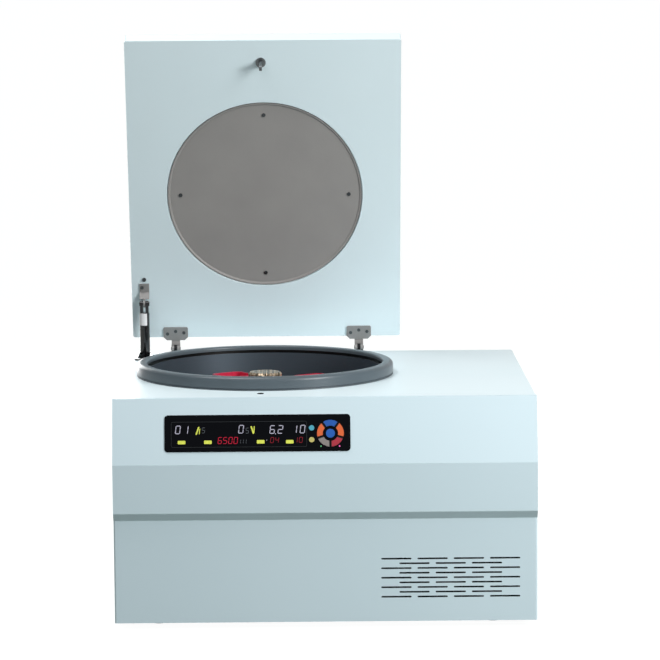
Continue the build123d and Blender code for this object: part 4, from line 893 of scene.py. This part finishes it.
# ---------------------------------------------------------------- gas strut
# The strut has a glossy black tube that ends in a forked clevis, a bright rod
# and a blank white sleeve. A bent plate holds it to the lid, and it goes down
# through a slot in the deck with a rubber grommet.
plated = metal(
    "bright_plate", srgb(204, 200, 198), srgb(176, 173, 172), 0.3, (90.0, 90.0, 90.0), 0.00003
)
dress(plated, "strut_rod")
STRUT_PIVOT = Vector((-0.325, 0.26041, 0.47911))
TUBE_LEAN = math.radians(3.446)
lean_sin, lean_cos = math.sin(TUBE_LEAN), math.cos(TUBE_LEAN)
down_the_tube = Matrix((
    (1, 0, 0, 0), (0, -lean_cos, lean_sin, 0), (0, -lean_sin, -lean_cos, 0), (0, 0, 0, 1),
))
along_tube = Matrix.Translation(STRUT_PIVOT) @ down_the_tube
strut_black = moulding(
    "strut_black", srgb(10, 10, 12), srgb(18, 18, 20), 0.16, 40.0, 0.00001, Coat_Weight=0.4
)
TUBE_R, TUBE_SHOULDER, TUBE_START, TUBE_END = 0.0090, 0.0030, 0.0155, 0.1150
BORE_R, BORE_START, BORE_END, MOUTH_BORE_R = 0.0078, 0.0195, 0.107, 0.0043
CHEEK_IN, CHEEK_OUT, CLEVIS_R = 0.0021, 0.0078, 0.0060
RIVET_R, RIVET_PROUD, CLEVIS_PIN_R = 0.0040, 0.0093, 0.0025
cheek_foot = TUBE_START + 0.0004
cheek = arc(0.0, 0.0, CLEVIS_R, 180, 360, 12) + [(CLEVIS_R, cheek_foot), (-CLEVIS_R, cheek_foot)]
clevis_pin = (
    (-RIVET_PROUD, -CHEEK_OUT, RIVET_R), (-CHEEK_IN, CHEEK_IN, CLEVIS_PIN_R),
    (CHEEK_OUT, RIVET_PROUD, RIVET_R),
)
made = bmesh.new()
for near, far in ((-CHEEK_OUT, -CHEEK_IN), (CHEEK_IN, CHEEK_OUT)):
    prism(made, cheek, near, far)
for near, far, radius in clevis_pin:
    prism(made, rod(radius), near, far)
bmesh.ops.transform(made, matrix=ALONG_X, verts=made.verts)
shoulder_r = TUBE_R - TUBE_SHOULDER
tube_profile = [
    (0.0, TUBE_START),
    *arc(shoulder_r, TUBE_START + TUBE_SHOULDER, TUBE_SHOULDER, -90, 0, 5),
    *arc(shoulder_r, TUBE_END - TUBE_SHOULDER, TUBE_SHOULDER, 0, 90, 5),
    (MOUTH_BORE_R, TUBE_END), (MOUTH_BORE_R, BORE_END), (BORE_R, BORE_END),
    (BORE_R, BORE_START), (0.0, BORE_START),
]
lathe(made, tube_profile, steps=48)
piece(
    "glossy_tube", made, strut_black, "strut_cylinder", along_tube,
    ["strut_cylinder"],
)

SLEEVE_LOW, SLEEVE_HIGH, SLEEVE_PROUD, SLEEVE_SUNK = 0.0168, 0.0389, 0.0003, 0.0002
outer = arc(0.0, 0.0, TUBE_R + SLEEVE_PROUD, 58, 208, 24)
inner = arc(0.0, 0.0, TUBE_R - SLEEVE_SUNK, 58, 208, 24)
sleeve_white = moulding("white_sleeve", srgb(236, 236, 236), srgb(226, 226, 228), 0.4)
made = bmesh.new()
prism(made, outer + inner[::-1], SLEEVE_LOW, SLEEVE_HIGH)
piece("strut_sleeve", made, sleeve_white, "strut_cylinder", along_tube)

# The bracket's plate lies on the lid, its strip bends down to the web, and the
# web ends in the eye that the clevis pin goes through.
BRACKET_HALF, TAB_HALF, BRACKET_THICK = 0.0088, 0.0015, 0.002
EYE_R, EYE_HOLE_R = 0.0065, 0.0026
py, pz = 0.1976, 0.391
plate_end, plate_foot, bend = py - 0.0330, py - 0.0165, py - 0.0150
plate_low = LID_FACE - BRACKET_THICK
strip_end = [(py - 0.00732, pz + 0.0061), (py - 0.00588, pz + 0.0075)]
plate = [(plate_end, plate_low), (plate_foot, plate_low), (bend, LID_FACE), (plate_end, LID_FACE)]
strip = [(plate_foot, plate_low), *strip_end, (bend, LID_FACE)]
web = strip_end + arc(py, pz, EYE_R, 110, 160, 5)
made = bmesh.new()
prism(made, plate, -BRACKET_HALF, BRACKET_HALF)
prism(made, strip, -BRACKET_HALF, BRACKET_HALF)
prism(made, web, -TAB_HALF, TAB_HALF)
ring(made, rod(EYE_R, py, pz), rod(EYE_HOLE_R, py, pz), -TAB_HALF, TAB_HALF)
place = OPEN_LID @ Matrix.Translation((STRUT_PIVOT.x, 0.0, 0.0)) @ ALONG_X
piece("bent_bracket", made, dulled, "lid", place, ["strut_lid_bracket"])

trim_black = moulding(
    "trim_black", srgb(18, 18, 20), srgb(28, 28, 30), 0.2, 300.0, 0.00002, Coat_Weight=0.3
)
trim_low, trim_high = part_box("strut_slot_trim")
trim_x, trim_y = (trim_low.x + trim_high.x) / 2, (trim_low.y + trim_high.y) / 2
GROMMET_OUTSIDE, GROMMET_OPENING = (0.031, 0.105, 0.0095), (0.021, 0.095, 0.0045)
GROMMET_TALL = 0.003
made = bmesh.new()
ring(made, rounded(*GROMMET_OUTSIDE), rounded(*GROMMET_OPENING), 0.0, GROMMET_TALL)
place = Matrix.Translation((trim_x, trim_y, trim_low.z))
piece("slot_grommet", made, trim_black, "cabinet", place, ["strut_slot_trim"])


# ---------------------------------------------------------------- studio
# The machine stands on white paper that rises behind it in a wide curve. Soft
# boxes stand to the right, to the upper right, overhead and low behind it.
PAPER_IN_GLOSS = 0.6


def backdrop(name, colour, white):
    """A paper sweep with its own white for the camera, so its shadow stays soft."""
    paper = Finish(
        name, Base_Color=(*colour, 1.0), Roughness=0.9, Specular_IOR_Level=0.1,
        Emission_Strength=1.0,
    )
    seen = paper.node("LightPath", out="Is Camera Ray")
    seen = seen + paper.node("LightPath", out="Is Glossy Ray") * PAPER_IN_GLOSS
    seen = seen + paper.node("LightPath", out="Is Transmission Ray")
    return paper.wear(Emission_Color=paper.mix(seen, BLACK, (white,) * 3))


PAPER_FRONT, PAPER_BEND, PAPER_ROUND, PAPER_TOP, PAPER_HALF = -16.5, 5.2, 3.8, 14.2, 14.2
profile = [
    (PAPER_FRONT, 0.0), *arc(PAPER_BEND, PAPER_ROUND, PAPER_ROUND, -90, 0, 12),
    (PAPER_BEND + PAPER_ROUND, PAPER_TOP),
]
sweep = bmesh.new()
rows = [[sweep.verts.new((x, y, z)) for x in (-PAPER_HALF, PAPER_HALF)] for y, z in profile]
for low, high in zip(rows, rows[1:]):
    sweep.faces.new((low[0], low[1], high[1], high[0]))
sweep_mesh = bpy.data.meshes.new("paper_sweep")
sweep.to_mesh(sweep_mesh)
sweep.free()
sweep_mesh.polygons.foreach_set("use_smooth", [True] * len(sweep_mesh.polygons))
sweep_mesh.materials.append(backdrop("white_paper", (0.08, 0.112, 0.096), 0.97).material)
floor = bpy.data.objects.new("paper_sweep", sweep_mesh)
bpy.context.scene.collection.objects.link(floor)


def lamp(name, place, target, size, power):
    """A square soft box aimed at a point."""
    data = bpy.data.lights.new(name, "AREA")
    data.size = size
    data.energy = power
    box = bpy.data.objects.new(name, data)
    aim = (Vector(target) - Vector(place)).to_track_quat("-Z", "Y")
    box.matrix_world = Matrix.Translation(place) @ aim.to_matrix().to_4x4()
    bpy.context.scene.collection.objects.link(box)


lamp("right_softbox", (1.7, -1.7, 1.2), (0.0, 0.1, 0.5), size=0.9, power=36.0)
lamp("upper_right_softbox", (2.8, -2.4, 2.8), (0.0, 0.0, 0.4), size=1.5, power=57.0)
lamp("overhead_softbox", (-0.7, -0.3, 2.4), (-0.1, 0.0, 0.4), size=1.2, power=27.0)
lamp("rear_softbox", (-1.1, 3.0, 0.55), (0.0, 0.3, 0.35), size=1.6, power=55.0)

# The air gives an even bluish light, and the camera sees it white.
AIR_LIGHT, AIR_SEEN = (0.335, 0.349, 0.36), (0.97, 0.97, 0.97)
world = bpy.data.worlds.new("studio_air")
world.use_nodes = True
bpy.context.scene.world = world
air = Nodes(world.node_tree)
air_tone = air.mix(air.node("LightPath", out="Is Camera Ray"), AIR_LIGHT, AIR_SEEN)
air.feed(air.tree.nodes["Background"].inputs["Color"], air_tone)

# The camera stands five metres off, a little above the machine.
CAMERA_PLACE = Vector((-0.02804, -5.3197, 1.0975))
YAW, PITCH, ROLL = (math.radians(a) for a in (0.432, 6.839, -0.413))
SENSOR_WIDE, LENS_REACH, VIEW_WIDE = 36.0, 3070.1, 660.0
ahead_x, ahead_y = math.sin(YAW) * math.cos(PITCH), math.cos(YAW) * math.cos(PITCH)
ahead = Vector((ahead_x, ahead_y, -math.sin(PITCH)))
level = Vector((math.cos(YAW), -math.sin(YAW), 0.0))
upright = level.cross(ahead)
to_right = level * math.cos(ROLL) + upright * math.sin(ROLL)
to_top = upright * math.cos(ROLL) - level * math.sin(ROLL)
turn = Matrix((to_right, to_top, -ahead)).transposed().to_4x4()
lens = bpy.data.cameras.new("camera")
lens.sensor_width = SENSOR_WIDE
lens.lens = SENSOR_WIDE * LENS_REACH / VIEW_WIDE
camera = bpy.data.objects.new("camera", lens)
camera.matrix_world = Matrix.Translation(CAMERA_PLACE) @ turn
bpy.context.scene.collection.objects.link(camera)
bpy.context.scene.camera = camera
bpy.context.scene.view_settings.view_transform = "Standard"
